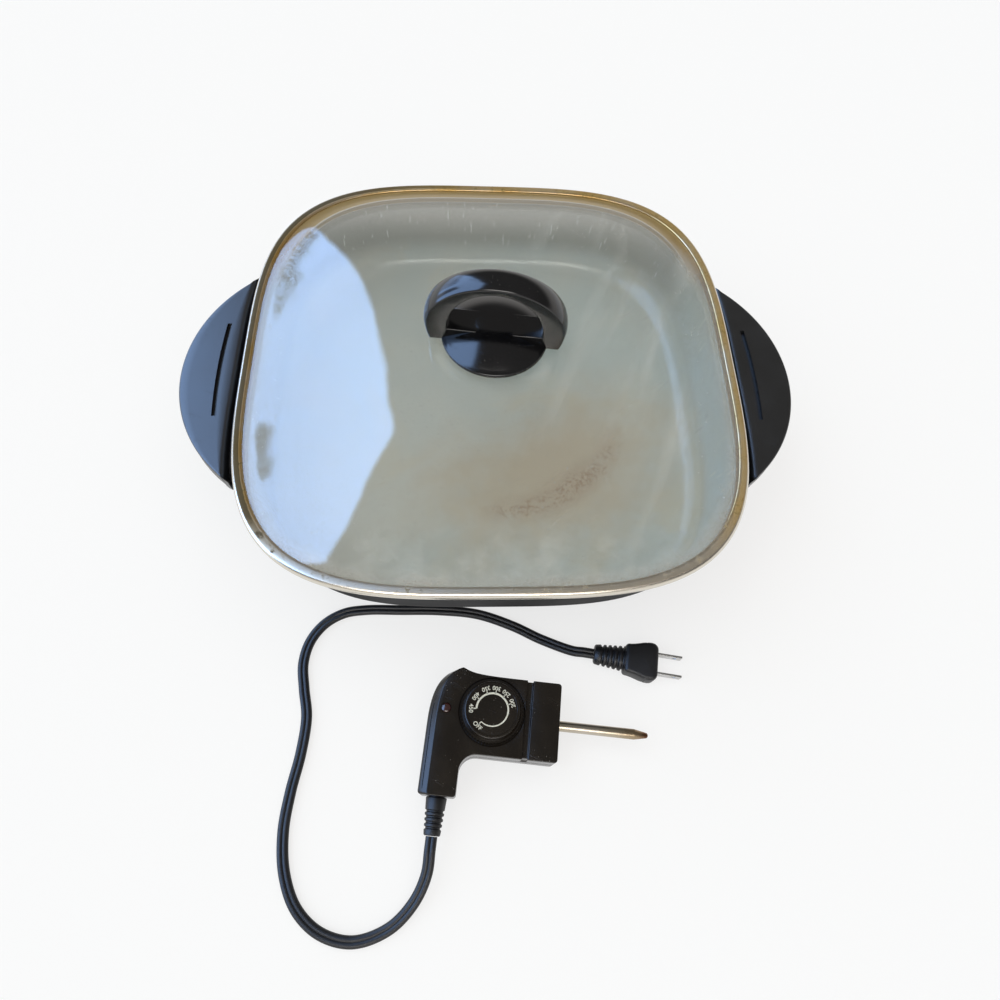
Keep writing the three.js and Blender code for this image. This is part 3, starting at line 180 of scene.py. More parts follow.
class Surface:
    """One material and the nodes that make it."""

    def __init__(self, name: str) -> None:
        """Start an empty material.

        Args:
            name: The material's name.
        """
        self.material = bpy.data.materials.new(name)
        self.material.use_nodes = True
        self.output = "ShaderNodeOutputMaterial"
        self._start(self.material.node_tree)

    def _start(self, tree: bpy.types.NodeTree) -> None:
        """Empty the nodes and add the coordinates that the patterns read.

        Args:
            tree: The nodes' tree.
        """
        self.tree = tree
        self.tree.nodes.clear()
        self.place = self.node("ShaderNodeTexCoord", out="Object")

    @classmethod
    def of_world(cls, world: bpy.types.World) -> "Surface":
        """Return the same kit over a world's nodes.

        Args:
            world: The world painted.
        """
        kit = cls.__new__(cls)
        kit.material = world
        kit.output = "ShaderNodeOutputWorld"
        kit._start(world.node_tree)
        return kit

    def node(self, kind: str, settings: Optional[dict] = None, inputs: Optional[dict] = None,
             out: Union[int, str, None] = 0) -> Optional[Signal]:
        """Add any node.

        Args:
            kind: The node's type.
            settings: Its properties, set first; "stops" are a ramp's positions and colours.
            inputs: Values or signals for its sockets, by name or number.
            out: The output wanted, or None from a node that has none.

        Returns:
            The output's signal, if one is wanted.
        """
        made = self.tree.nodes.new(kind)
        for name, value in (settings or {}).items():
            if name == "stops":
                self._set_stops(made.color_ramp, value)
            else:
                setattr(made, name, value)
        for key, value in (inputs or {}).items():
            socket = made.inputs[key]
            if isinstance(value, Signal):
                self.tree.links.new(value.socket, socket)
            elif isinstance(value, tuple) and len(value) == 3 and socket.type == "RGBA":
                socket.default_value = (*value, 1.0)
            else:
                socket.default_value = value
        return None if out is None else Signal(self, made.outputs[out])

    @staticmethod
    def _set_stops(ramp: bpy.types.ColorRamp, stops: Sequence[tuple[float, Colour]]) -> None:
        """Give a ramp its stops, in rising order.

        Args:
            ramp: The ramp.
            stops: Its positions and colours.
        """
        while len(ramp.elements) < len(stops):
            ramp.elements.new(1.0)
        for element, (position, colour) in zip(ramp.elements, stops):
            element.position = position
            element.color = (*colour, 1.0)

    def mapped(self, turn: float = 0.0, stretch: Triple = (1.0, 1.0, 1.0),
               shift: Triple = (0.0, 0.0, 0.0)) -> Signal:
        """Return the object's coordinates, shifted, turned about Z and then stretched.

        Args:
            turn: Degrees about Z.
            stretch: Scale along each axis, last.
            shift: The move, first.

        Returns:
            The moved coordinates.
        """
        found, turned = self.place, (0.0, 0.0, math.radians(turn))
        for key, value in (("Location", shift), ("Rotation", turned), ("Scale", stretch)):
            found = self.node("ShaderNodeMapping", {}, {"Vector": found, key: value})
        return found

    def axes(self, vector: Optional[Signal] = None) -> tuple[Signal, Signal, Signal]:
        """Return the X, Y and Z of a vector, which is the object's coordinates if none is given.

        Args:
            vector: The vector split.

        Returns:
            Its three numbers.
        """
        split = self.node("ShaderNodeSeparateXYZ", {}, {"Vector": vector or self.place})
        return tuple(Signal(self, out) for out in split.socket.node.outputs)

    def noise(self, scale: float, detail: float = 3.0, rough: float = 0.55, vector: Optional[Signal] = None,
              warp: float = 0.0) -> Signal:
        """Return noise between 0 and 1, at a number of waves to the metre.

        Args:
            scale: Waves to the metre.
            detail: How many finer layers it has.
            rough: How strong those are.
            vector: The coordinates, if not the object's.
            warp: How far it is distorted.

        Returns:
            The noise.
        """
        inputs = {"Vector": vector or self.place, "Scale": scale, "Detail": detail, "Roughness": rough,
                  "Distortion": warp}
        return self.node("ShaderNodeTexNoise", {}, inputs)

    def cells(self, scale: float) -> Signal:
        """Return the distance to the nearest of many scattered points."""
        return self.node("ShaderNodeTexVoronoi", {}, {"Vector": self.place, "Scale": scale})

    def mix(self, factor: Value, first: Tone, second: Tone) -> Signal:
        """Blend two colours."""
        return self.node("ShaderNodeMix", {"data_type": "RGBA"}, {0: factor, 6: first, 7: second}, out=2)

    def ramp(self, factor: Signal, *stops: tuple[float, Colour]) -> Signal:
        """Turn a value into a colour by a ramp."""
        return self.node("ShaderNodeValToRGB", {"stops": stops}, {0: factor})

    def blend(self, factor: Value, first: Signal, second: Signal) -> Signal:
        """Blend two shaders."""
        return self.node("ShaderNodeMixShader", {}, {0: factor, 1: first, 2: second})

    def bump(self, height: Signal, distance: float, strength: float = 1.0,
             below: Optional[Signal] = None) -> Signal:
        """Return the normal of a height pattern, in metres, over another normal.

        Args:
            height: The pattern.
            distance: Its height in metres.
            strength: How much of it is used.
            below: The normal under it.

        Returns:
            The normal.
        """
        inputs = {"Height": height, "Distance": distance, "Strength": strength}
        if below is not None:
            inputs["Normal"] = below
        return self.node("ShaderNodeBump", {}, inputs)

    def shader(self, **sockets: Union[Value, Tone]) -> Signal:
        """Return a Principled shader; an argument such as base_color sets the socket Base Color.

        Args:
            sockets: Values and signals for its sockets.

        Returns:
            The shader.
        """
        names = {"specular_ior_level": "Specular IOR Level"}
        inputs = {names.get(name, name.replace("_", " ").title()): value for name, value in sockets.items()}
        return self.node("ShaderNodeBsdfPrincipled", {}, inputs)

    def close(self, shader: Signal) -> Material:
        """Feed the shader to the output and return the finished material.

        Args:
            shader: What the surface shows.

        Returns:
            The material.
        """
        self.node(self.output, {}, {"Surface": shader}, out=None)
        return self.material


# Finishes


@dataclass(frozen=True)
class Moulding:
    """Moulded plastic or rubber with a fine grain, handling marks and a little dust."""

    name: str
    tone: Colour
    worn: Colour
    roughness: float
    grain: float = 900.0
    depth: float = 0.01 * MM
    dust: float = 0.0
    scuff: float = 0.12
    mirror: float = 0.5  # specular level

    def material(self) -> Material:
        """Make the material.

        Returns:
            The material.
        """
        s = Surface(self.name)
        cloud = s.noise(38.0, 4.0)
        marks = s.noise(260.0, 2.0, vector=s.mapped(turn=25.0, stretch=(0.25, 1.6, 1.0)))
        tone = s.mix(cloud.step(0.35, 0.75), self.tone, self.worn)
        rough = self.roughness + (cloud - 0.5) * self.scuff + marks.step(0.62, 0.74) * 0.1
        if self.dust > 0:
            speck = s.cells(420.0).step(0.13, 0.05) * s.noise(60.0, 2.0).step(0.46, 0.62) * self.dust
            tone = s.mix(speck, tone, paint(150, 146, 138))
            rough = rough + speck * 0.3
        normal = s.bump(s.noise(self.grain, 2.0), self.depth)
        return s.close(s.shader(base_color=tone, roughness=rough.over(0.05).under(1.0),
                                specular_ior_level=self.mirror, normal=normal))


@dataclass(frozen=True)
class Metal:
    """Plated or drawn metal with fine drawing marks and a dull bloom."""

    name: str
    tone: Colour
    bloom: Colour
    roughness: float
    drawn: Triple = (1.0, 0.12, 1.0)
    spread: float = 0.5

    def material(self) -> Material:
        """Make the material.

        Returns:
            The material.
        """
        s = Surface(self.name)
        streak = s.noise(1500.0, 2.0, vector=s.mapped(stretch=self.drawn))
        bloom = s.noise(130.0, 4.0).step(0.4, 0.75) * self.spread
        rough = self.roughness + (streak - 0.5) * 0.16 + bloom * 0.18
        normal = s.bump(streak, 0.004 * MM)
        return s.close(s.shader(base_color=s.mix(bloom, self.tone, self.bloom), metallic=1.0,
                                roughness=rough.over(0.08), normal=normal))


@dataclass(frozen=True)
class CeramicCoat:
    """Grey-green cooking coat with burnt stains on the floor and bright rub marks up the walls, with painted
    shade on the back wall and a painted sky reflection on the right wall.
    """

    centre_y: float
    floor: float
    coat: Colour = paint(190, 192, 184)
    cool: Colour = paint(174, 185, 183)
    warm: Colour = paint(192, 184, 160)
    burn: Colour = paint(132, 90, 26)
    haze: Colour = paint(174, 152, 114)
    painted_back_shade: Colour = paint(132, 132, 122)  # painted shade on the back wall, darker than the floor
    painted_sky_reflection: Colour = paint(182, 204, 218)  # painted reflection of the blue sky on the right wall

    def _spot(self, s: Surface, at: Point, size: Point, turn: float, wobble: Signal) -> Signal:
        """Return a soft, ragged oval patch, 1 in its middle.

        Args:
            s: The surface.
            at: Its middle.
            size: Its half length and half width.
            turn: Degrees about Z.
            wobble: What makes its edge ragged.

        Returns:
            The patch's mask.
        """
        x, y, _ = s.axes(s.mapped(turn=turn, shift=(-at[0], -at[1], 0.0)))
        reach = ((x / size[0]) ** 2.0 + (y / size[1]) ** 2.0) ** 0.5
        return (reach + (wobble - 0.5) * 0.9).step(1.15, 0.15)

    def material(self) -> Material:
        """Make the material.

        Returns:
            The material.
        """
        s = Surface("ceramic_coat")
        x, y, z = s.axes(s.mapped(shift=(0.0, -self.centre_y, 0.0)))
        cloud = s.noise(7.0, 3.0)
        tone = s.mix(cloud.step(0.35, 0.65), self.coat, self.cool)
        tone = s.mix(s.noise(11.0, 4.0, warp=0.8).step(0.5, 0.72) * 0.6, tone, self.warm)
        ragged = s.noise(70.0, 5.0, 0.65, warp=1.2)
        soft = s.noise(22.0, 4.0, 0.6)
        on_floor = (z - self.floor).step(18 * MM, 2 * MM)
        broad = self._spot(s, (46 * MM, 4 * MM), (122 * MM, 84 * MM), -22.0, soft)
        tone = s.mix(broad * on_floor * 0.8, tone, self.haze)
        burn = self._spot(s, (57 * MM, -2 * MM), (50 * MM, 16 * MM), -34.0, ragged)
        trail = self._spot(s, (16 * MM, -19 * MM), (28 * MM, 12 * MM), -12.0, ragged)
        top = self._spot(s, (86 * MM, 28 * MM), (28 * MM, 12 * MM), -66.0, ragged)
        grit = s.noise(420.0, 3.0, 0.7).step(0.3, 0.7) * 0.7 + 0.3
        marks = (burn + trail * 0.8 + top * 0.6).under(1.0) * ragged.step(0.3, 0.6) * grit * on_floor
        tone = s.mix(marks, tone, self.burn)
        rub = s.noise(420.0, 2.0, vector=s.mapped(stretch=(1.0, 1.0, 0.05))).step(0.63, 0.72)
        wall = (z - self.floor).step(8 * MM, 26 * MM)
        # painted shade: the back wall darkened where it lies in shadow
        tone = s.mix(wall * y.step(0.06, 0.12) * 0.9, tone, self.painted_back_shade)
        # painted reflection: pale blue sky mirrored on the right wall
        tone = s.mix(wall * x.step(0.09, 0.13) * y.step(0.06, 0.0) * 0.6, tone, self.painted_sky_reflection)
        tone = s.mix(rub * wall * 0.5, tone, paint(214, 220, 216))
        rough = 0.17 + cloud * 0.1 + marks * 0.3
        fine = s.bump(s.noise(500.0, 2.0), 0.002 * MM)
        normal = s.bump(s.noise(9.0, 2.0), 0.3 * MM, 0.35, below=fine)
        return s.close(s.shader(base_color=tone, roughness=rough, normal=normal))


@dataclass(frozen=True)
class StoveEnamel:
    """Satin black baked finish of the pan's outside, a little browned near the heat."""

    def material(self) -> Material:
        """Make the material.

        Returns:
            The material.
        """
        s = Surface("stove_enamel")
        _, _, z = s.axes()
        cloud = s.noise(30.0, 4.0)
        heat = z.step(34 * MM, 14 * MM) * cloud.step(0.35, 0.7)
        tone = s.mix(heat * 0.7, paint(26, 26, 28), paint(58, 46, 36))
        rough = 0.46 + cloud * 0.14
        normal = s.bump(s.noise(1100.0, 3.0), 0.012 * MM)
        return s.close(s.shader(base_color=tone, roughness=rough, specular_ior_level=0.06, normal=normal))


@dataclass(frozen=True)
class TemperedGlass:
    """Clear lid glass with a thin haze, wiping streaks and a browned, speckled edge.

    Its mirror rises by Schlick's rule from the facing angle, the same on both sides of a face, so that
    the lower face lets slanting light through.
    """

    centre_y: float
    edge: float
    haze: float = 0.065
    film: Colour = paint(240, 240, 234)
    stain: Colour = paint(150, 118, 84)
    fat: Colour = paint(178, 152, 98)  # the gold seen along the back
    head_on: float = 0.06  # share mirrored where a face is seen straight on

    def material(self) -> Material:
        """Make the material.

        Returns:
            The material.
        """
        s = Surface("tempered_glass")
        x, y, _ = s.axes(s.mapped(shift=(0.0, -self.centre_y, 0.0)))
        out = square_size(x / self.edge, y / self.edge)
        speckle = s.noise(900.0, 3.0, 0.7).step(0.4, 0.68)
        patch = s.noise(26.0, 4.0).step(0.3, 0.7)
        fringe = out.step(0.9, 0.985) * (0.35 + speckle * 0.65) * (0.45 + patch * 0.55)
        wiped, scratched = s.mapped(-67.0, (0.14, 1.0, 1.0)), s.mapped(-38.0, (0.05, 1.0, 1.0))
        wiping = s.noise(62.0, 2.0, 0.4, vector=wiped).step(0.56, 0.74)
        scratch = s.noise(240.0, 2.0, 0.5, vector=scratched).step(0.66, 0.8)
        side = x.step(-0.01, 0.1)
        frost = y.step(-0.11, -0.15) * s.noise(60.0, 5.0, 0.7).step(0.42, 0.68)
        dust = s.cells(300.0).step(0.17, 0.08) * s.noise(130.0).step(0.5, 0.6)
        smears = (wiping + scratch) * side + frost + dust * 2.5
        far = y.step(0.05, 0.13)
        rim = out.step(0.9, 0.915) * far
        line = out.step(0.89, 0.9) * out.step(0.92, 0.908) * far
        haze = self.haze + s.noise(9.0, 3.0) * 0.04 + smears * 0.1 + (fringe + rim).under(1.0) * 0.5
        tone = s.mix((fringe + rim).under(1.0), self.film, s.mix(rim, self.stain, self.fat))
        film = s.shader(base_color=s.mix(line * 0.7, tone, self.film), roughness=0.5)
        clear = s.node("ShaderNodeBsdfTransparent", {}, {"Color": (0.985, 0.99, 0.985, 1.0)})
        body = s.blend(haze.under(0.9), clear, film)
        wave = s.bump(s.noise(14.0, 1.0), 0.3 * MM, 0.4)
        gleam = s.shader(base_color=(1.0, 1.0, 1.0), metallic=1.0, roughness=0.03, normal=wave)
        facing = s.node("ShaderNodeLayerWeight", {}, {"Blend": 0.5}, out="Facing")
        mirror = facing ** 5.0 * (1.0 - self.head_on) + self.head_on
        return s.close(s.blend(mirror, body, gleam))


@dataclass(frozen=True)
class StainedBand:
    """Rolled steel stained gold and olive brown by cooking fat, bright along its outer roll; the fat in its
    trough is darkened further by painted shade, most on the window side.
    """

    centre_y: float
    half: float
    steel: Colour = (0.70, 0.66, 0.58)
    gold: Colour = (0.64, 0.41, 0.14)
    burnt: Colour = (0.032, 0.026, 0.01)  # the fat on the window side, darkened by painted shade
    amber: Colour = (0.24, 0.165, 0.055)  # and on the other

    def material(self) -> Material:
        """Make the material.

        Returns:
            The material.
        """
        s = Surface("stained_band")
        x, y, _ = s.axes(s.mapped(shift=(0.0, -self.centre_y, 0.0)))
        out = square_size(x, y)
        inner = out.step(self.half - 1.4 * MM, self.half - 2.4 * MM)
        trough = inner * out.step(self.half - 5.6 * MM, self.half - 4.6 * MM)
        patch = s.noise(24.0, 4.0, 0.6)
        grease = s.noise(240.0, 4.0, 0.7)
        far = 0.2 + y.step(-0.15, -0.1) * 0.8
        tone = s.mix(inner * (0.55 + patch.step(0.3, 0.7) * 0.45) * far, self.steel, self.gold)
        left = x.step(0.05, -0.12)
        # painted shade over real fat: the trough darkened, most on the left, the window side
        baked = trough * (0.45 + patch * 0.4 + left * 0.5) * far
        fat_and_shade = (baked + inner * grease.step(0.52, 0.74) * patch.step(0.35, 0.6)).under(1.0)
        tone = s.mix(fat_and_shade * 0.9, tone, s.mix(left, self.amber, self.burnt))
        rough = 0.2 + inner * 0.1 + fat_and_shade * 0.3
        normal = s.bump(grease, 0.02 * MM)
        return s.close(s.shader(base_color=tone, metallic=1.0 - fat_and_shade * 0.85, roughness=rough,
                                specular_ior_level=0.2, normal=normal))


@dataclass(frozen=True)
class HeatTint:
    """Stainless probe tinted straw and bronze by heat, darkest at its tip."""

    root: Point
    turn: float
    length: float

    def material(self) -> Material:
        """Make the material.

        Returns:
            The material.
        """
        s = Surface("heat_tint")
        x, _, _ = s.axes(s.mapped(turn=-self.turn, shift=(-self.root[0], -self.root[1], 0.0)))
        along = x / self.length + (s.noise(120.0, 4.0) - 0.5) * 0.16
        straw, bronze = (0.48, 0.42, 0.32), (0.36, 0.27, 0.17)
        tone = s.ramp(along, (0.0, straw), (0.35, (0.54, 0.49, 0.42)), (0.62, straw), (0.82, bronze),
                      (0.91, (0.17, 0.08, 0.045)), (1.0, (0.09, 0.045, 0.03)))
        streak = s.noise(1500.0, 2.0, vector=s.mapped(turn=-self.turn, stretch=(0.06, 1.0, 1.0)))
        spots = s.cells(520.0).step(0.26, 0.1) * along.step(0.5, 0.85)
        tone = s.mix(spots * 0.6, tone, (0.08, 0.05, 0.03))
        rough = 0.24 + streak * 0.16 + spots * 0.3
        normal = s.bump(streak, 0.005 * MM)
        return s.close(s.shader(base_color=tone, metallic=1.0, roughness=rough, normal=normal))


@dataclass(frozen=True)
class FiredCeramic:
    """Cream fired ceramic with a slightly browned skin."""

    def material(self) -> Material:
        """Make the material.

        Returns:
            The material.
        """
        s = Surface("fired_ceramic")
        cloud = s.noise(180.0, 4.0)
        tone = s.mix(cloud.step(0.45, 0.8), paint(232, 227, 214), paint(196, 180, 150))
        normal = s.bump(s.noise(2200.0, 2.0), 0.02 * MM)
        return s.close(s.shader(base_color=tone, roughness=0.6 + cloud * 0.2, normal=normal))


@dataclass(frozen=True)
class LampLens:
    """Dark red lens over the pilot light."""

    def material(self) -> Material:
        """Make the material.

        Returns:
            The material.
        """
        s = Surface("lamp_lens")
        cloud = s.noise(300.0, 3.0)
        tone = s.mix(cloud.step(0.3, 0.8), paint(38, 20, 20), paint(66, 34, 30))
        return s.close(s.shader(base_color=tone, roughness=0.12 + cloud * 0.1, coat_weight=0.5))


@dataclass(frozen=True)
class PrintedPaint:
    """White print on the dial, worn thin in places."""

    def material(self) -> Material:
        """Make the material.

        Returns:
            The material.
        """
        s = Surface("printed_paint")
        wear = s.noise(900.0, 4.0, 0.65).step(0.45, 0.75)
        tone = s.mix(wear * 0.4, paint(222, 221, 208), paint(150, 146, 130))
        return s.close(s.shader(base_color=tone, roughness=0.5 + wear * 0.2))


class Finish(Enum):
    """The finishes that pieces are dressed in."""

    COAT = "coat"
    ENAMEL = "enamel"
    GLASS = "glass"
    BAND = "band"
    SATIN = "satin"
    GLOSS = "gloss"
    CASE = "case"
    RUBBER = "rubber"
    SILICONE = "silicone"
    STEEL = "steel"
    BRASS = "brass"
    SHEATH = "sheath"
    TINT = "tint"
    CERAMIC = "ceramic"
    LENS = "lens"
    PRINT = "print"


class Slot(Enum):
    """The record's material slots."""

    PAN = "pan"
    SHEATH = "sheath"
    CERAMIC = "ceramic"
    STEEL = "steel"
    PHENOLIC = "phenolic"
    GLOSS = "gloss_phenolic"
    GLASS = "lid_glass"
    BAND = "stained_steel"
    TINT = "heat_tinted_steel"
    BRASS = "brass"
    SILICONE = "silicone"
    LENS = "lens"
    RUBBER = "cord_rubber"


class Body(Enum):
    """The bodies that pieces move with."""

    SKILLET = "skillet"
    LID = "lid"
    CONTROL = "control"
    DIAL = "dial"


class Drive(Enum):
    """The way that a screw goes in."""

    UP = "up"
    INWARD = "inward"  # towards -X


class Palette:
    """Makes each finish once and hands out its material."""

    def __init__(self, makers: dict[Finish, object]) -> None:
        """Make every material.

        Args:
            makers: The finish class that makes each material.
        """
        self.materials = {finish: maker.material() for finish, maker in makers.items()}

    def dress(self, obj: Object, *finishes: Finish) -> Object:
        """Give an object its materials, in the order of its slots.

        Args:
            obj: The piece.
            finishes: Its finishes.

        Returns:
            The piece.
        """
        last = len(finishes) - 1
        numbers = [min(face.material_index, last) for face in obj.data.polygons]
        obj.data.materials.clear()
        for finish in finishes:
            obj.data.materials.append(self.materials[finish])
        obj.data.polygons.foreach_set("material_index", numbers)
        return obj


# Bench: how a workpiece is modelled


def put_down() -> None:
    """Leave edit mode and deselect everything."""
    if bpy.context.object is not None and bpy.context.object.mode != "OBJECT":
        bpy.ops.object.mode_set(mode="OBJECT")
    bpy.ops.object.select_all(action="DESELECT")


def pick_up(*objects: Object) -> Object:
    """Select these objects alone and make the first active.

    Args:
        objects: The objects selected.

    Returns:
        The first object.
    """
    put_down()
    for obj in objects:
        obj.select_set(True)
    bpy.context.view_layer.objects.active = objects[0]
    return objects[0]


@contextmanager
def editing(obj: Object) -> Iterator[bmesh.types.BMesh]:
    """Work on an object in edit mode with everything selected, and leave it afterwards.

    Args:
        obj: The workpiece.

    Yields:
        Its mesh, while it is edited.
    """
    pick_up(obj)
    bpy.ops.object.mode_set(mode="EDIT")
    bpy.ops.mesh.select_all(action="SELECT")
    yield bmesh.from_edit_mesh(obj.data)
    bpy.ops.object.mode_set(mode="OBJECT")


def sealed(obj: Object) -> Object:
    """Merge doubled points and turn every face outwards.

    Args:
        obj: The workpiece.

    Returns:
        The workpiece.
    """
    with editing(obj):
        bpy.ops.mesh.remove_doubles(threshold=WELD)
        bpy.ops.mesh.normals_make_consistent(inside=False)
    return obj


def chained(name: str, points: Sequence[Sequence[float]], closed: bool = False) -> Object:
    """Draw a chain of edges, one extruded point after another.

    Args:
        name: The object's name.
        points: Its corners.
        closed: Whether an edge joins the last corner to the first.

    Returns:
        The chain, an object at the origin.
    """
    put_down()
    corners = [Vector(point) for point in points]
    bpy.ops.mesh.primitive_plane_add(size=MM, location=corners[0])
    obj = bpy.context.object
    obj.name = name
    bpy.ops.object.mode_set(mode="EDIT")
    bpy.ops.mesh.select_all(action="SELECT")
    bpy.ops.mesh.merge(type="CENTER")
    for before, after in zip(corners, corners[1:]):
        bpy.ops.mesh.extrude_vertices_move(TRANSFORM_OT_translate={"value": after - before})
    if closed:
        mesh = bmesh.from_edit_mesh(obj.data)
        ends = [vertex for vertex in mesh.verts if len(vertex.link_edges) == 1]
        bpy.ops.mesh.select_all(action="DESELECT")
        for vertex in ends:
            vertex.select_set(True)
        bmesh.update_edit_mesh(obj.data)
        bpy.ops.mesh.edge_face_add()
    bpy.ops.object.mode_set(mode="OBJECT")
    bpy.ops.object.transform_apply(location=True, rotation=True, scale=True)
    return obj


def spun(name: str, profile: Sequence[Point], sides: int = 48) -> Object:
    """Turn a profile of radius and height about the Z axis.

    The profile starts and ends on the axis, or it is a closed loop whose first corner is left for
    the last edge to reach.

    Args:
        name: The object's name.
        profile: Its corners.
        sides: How many steps the turn has.

    Returns:
        A closed solid.
    """
    loop = profile[0][0] > 0
    obj = chained(name, [(radius, 0.0, height) for radius, height in profile], closed=loop)
    with editing(obj):
        bpy.ops.mesh.spin(steps=sides, angle=math.tau, center=(0, 0, 0), axis=(0, 0, 1))
    return sealed(obj)


def raised(name: str, outline: Sequence[Point], low: float, high: float) -> Object:
    """Raise a plan outline from one height to another.

    Args:
        name: The object's name.
        outline: The plan's corners.
        low: Height of the underside.
        high: Height of the top.

    Returns:
        A closed solid.
    """
    obj = chained(name, [(x, y, low) for x, y in outline], closed=True)
    with editing(obj):
        bpy.ops.mesh.edge_face_add()
        bpy.ops.mesh.extrude_region_move(TRANSFORM_OT_translate={"value": (0, 0, high - low)})
    return sealed(obj)


def block(x: Point, y: Point, z: Point) -> Object:
    """Make a cutter between two places along each axis.

    Args:
        x: Its two ends along X.
        y: Its two ends along Y.
        z: Its two ends along Z.

    Returns:
        The block.
    """
    put_down()
    middle = [(low + high) / 2 for low, high in (x, y, z)]
    sides = [high - low for low, high in (x, y, z)]
    bpy.ops.mesh.primitive_cube_add(size=1.0, location=middle)
    bpy.context.object.scale = sides
    bpy.ops.object.transform_apply(location=True, rotation=True, scale=True)
    return bpy.context.object


def bar(radius: float, low: Sequence[float], high: Sequence[float], sides: int = 32) -> Object:
    """Make a round cutter or boss from one point to another.

    Args:
        radius: Its radius.
        low: The middle of one end.
        high: The middle of the other.
        sides: How many sides it has.

    Returns:
        The bar.
    """
    put_down()
    start, end = Vector(low), Vector(high)
    bpy.ops.mesh.primitive_cylinder_add(vertices=sides, radius=radius, depth=(end - start).length)
    obj = bpy.context.object
    turn = (end - start).to_track_quat("Z", "Y").to_matrix().to_4x4()
    return placed(obj, Matrix.Translation((start + end) / 2) @ turn)


def placed(obj: Object, place: Matrix) -> Object:
    """Turn and move a mesh to its place, and leave its object at the origin.

    Args:
        obj: The workpiece.
        place: Its turn and move.

    Returns:
        The workpiece.
    """
    obj.data.transform(place @ obj.matrix_basis)
    obj.matrix_basis = Matrix.Identity(4)
    obj.data.update()
    return obj


def applied(obj: Object, kind: str, **settings: object) -> Object:
    """Add a modifier with its settings and apply it.

    Args:
        obj: The workpiece.
        kind: The modifier's type.
        settings: Its properties.

    Returns:
        The workpiece.
    """
    pick_up(obj)
    modifier = obj.modifiers.new(kind.lower(), kind)
    for name, value in settings.items():
        setattr(modifier, name, value)
    bpy.ops.object.modifier_apply(modifier=modifier.name)
    return obj


def combined(obj: Object, operation: str, tools: Sequence[Object]) -> Object:
    """Join tools to a workpiece or cut it with them, which uses them up.

    Args:
        obj: The workpiece.
        operation: The boolean's operation.
        tools: The tools.

    Returns:
        The workpiece.
    """
    for tool in tools:
        applied(obj, "BOOLEAN", operation=operation, object=tool, solver="EXACT")
        bpy.data.objects.remove(tool)
    return obj


def cut(obj: Object, *tools: Object) -> Object:
    """Take the tools out of a workpiece."""
    return combined(obj, "DIFFERENCE", tools)


def united(obj: Object, *tools: Object) -> Object:
    """Join the tools to a workpiece as one solid."""
    return combined(obj, "UNION", tools)


def bevelled(obj: Object, width: float, segments: int = 3, angle: float = 40.0) -> Object:
    """Round every edge that is sharper than an angle in degrees."""
    return applied(obj, "BEVEL", width=width, segments=segments, limit_method="ANGLE",
                   angle_limit=math.radians(angle), use_clamp_overlap=True)


def trued(obj: Object) -> Object:
    """Weld the doubled points and the slivers that cuts leave behind.

    Args:
        obj: The workpiece.

    Returns:
        The workpiece.
    """
    with editing(obj):
        bpy.ops.mesh.remove_doubles(threshold=SLIVER)
        bpy.ops.mesh.dissolve_degenerate(threshold=SLIVER)
        bpy.ops.mesh.normals_make_consistent(inside=False)
    return obj


def smoothed(obj: Object, angle: float = 35.0) -> Object:
    """Shade an object smoothly, but for edges sharper than an angle in degrees.

    Args:
        obj: The workpiece.
        angle: The angle from which an edge stays sharp.

    Returns:
        The workpiece.
    """
    pick_up(trued(obj))
    bpy.ops.object.shade_smooth_by_angle(angle=math.radians(angle))
    return obj


def squared(obj: Object) -> Object:
    """Push a turned form out into the rounded square; a point's radius becomes its half width.

    Args:
        obj: The turned form.

    Returns:
        The same form, squared.
    """
    for vertex in obj.data.vertices:
        angle = math.atan2(vertex.co.y, vertex.co.x)
        size = square_size(math.cos(angle), math.sin(angle))
        vertex.co.x /= size
        vertex.co.y /= size
    obj.data.update()
    return obj


def square_reach(half: float, side: float) -> float:
    """Return the half width left of the rounded square at a place along its side."""
    return half * (1 - (abs(side) / half) ** CORNER_POWER) ** (1 / CORNER_POWER)


def polar(radius: float, degrees: float) -> Point:
    """Return the point at a radius and an angle in degrees."""
    return radius * math.cos(math.radians(degrees)), radius * math.sin(math.radians(degrees))


def arc(centre: Point, radius: float, start: float, end: float, steps: int = 8,
        tall: Optional[float] = None) -> list[Point]:
    """Return the points of an arc.

    Args:
        centre: Its centre.
        radius: Its radius.
        start: Its first angle, in degrees.
        end: Its last angle.
        steps: How many steps it has.
        tall: Its upright radius, if it is part of an ellipse.

    Returns:
        Its points.
    """
    upright = radius if tall is None else tall
    angles = [math.radians(start + (end - start) * i / steps) for i in range(steps + 1)]
    return [(centre[0] + radius * math.cos(a), centre[1] + upright * math.sin(a)) for a in angles]


def bezier(a: Point, b: Point, c: Point, d: Point, steps: int = 12) -> list[Point]:
    """Return the points of a cubic curve from a to d, drawn by b and c.

    Args:
        a: Where it starts.
        b: What draws its start.
        c: What draws its end.
        d: Where it ends.
        steps: How many steps it has.

    Returns:
        The curve's points.
    """
    found = []
    for i in range(steps + 1):
        t = i / steps
        shares = ((1 - t) ** 3, 3 * t * (1 - t) ** 2, 3 * t * t * (1 - t), t ** 3)
        found.append(tuple(sum(w * p[k] for w, p in zip(shares, (a, b, c, d))) for k in (0, 1)))
    return found


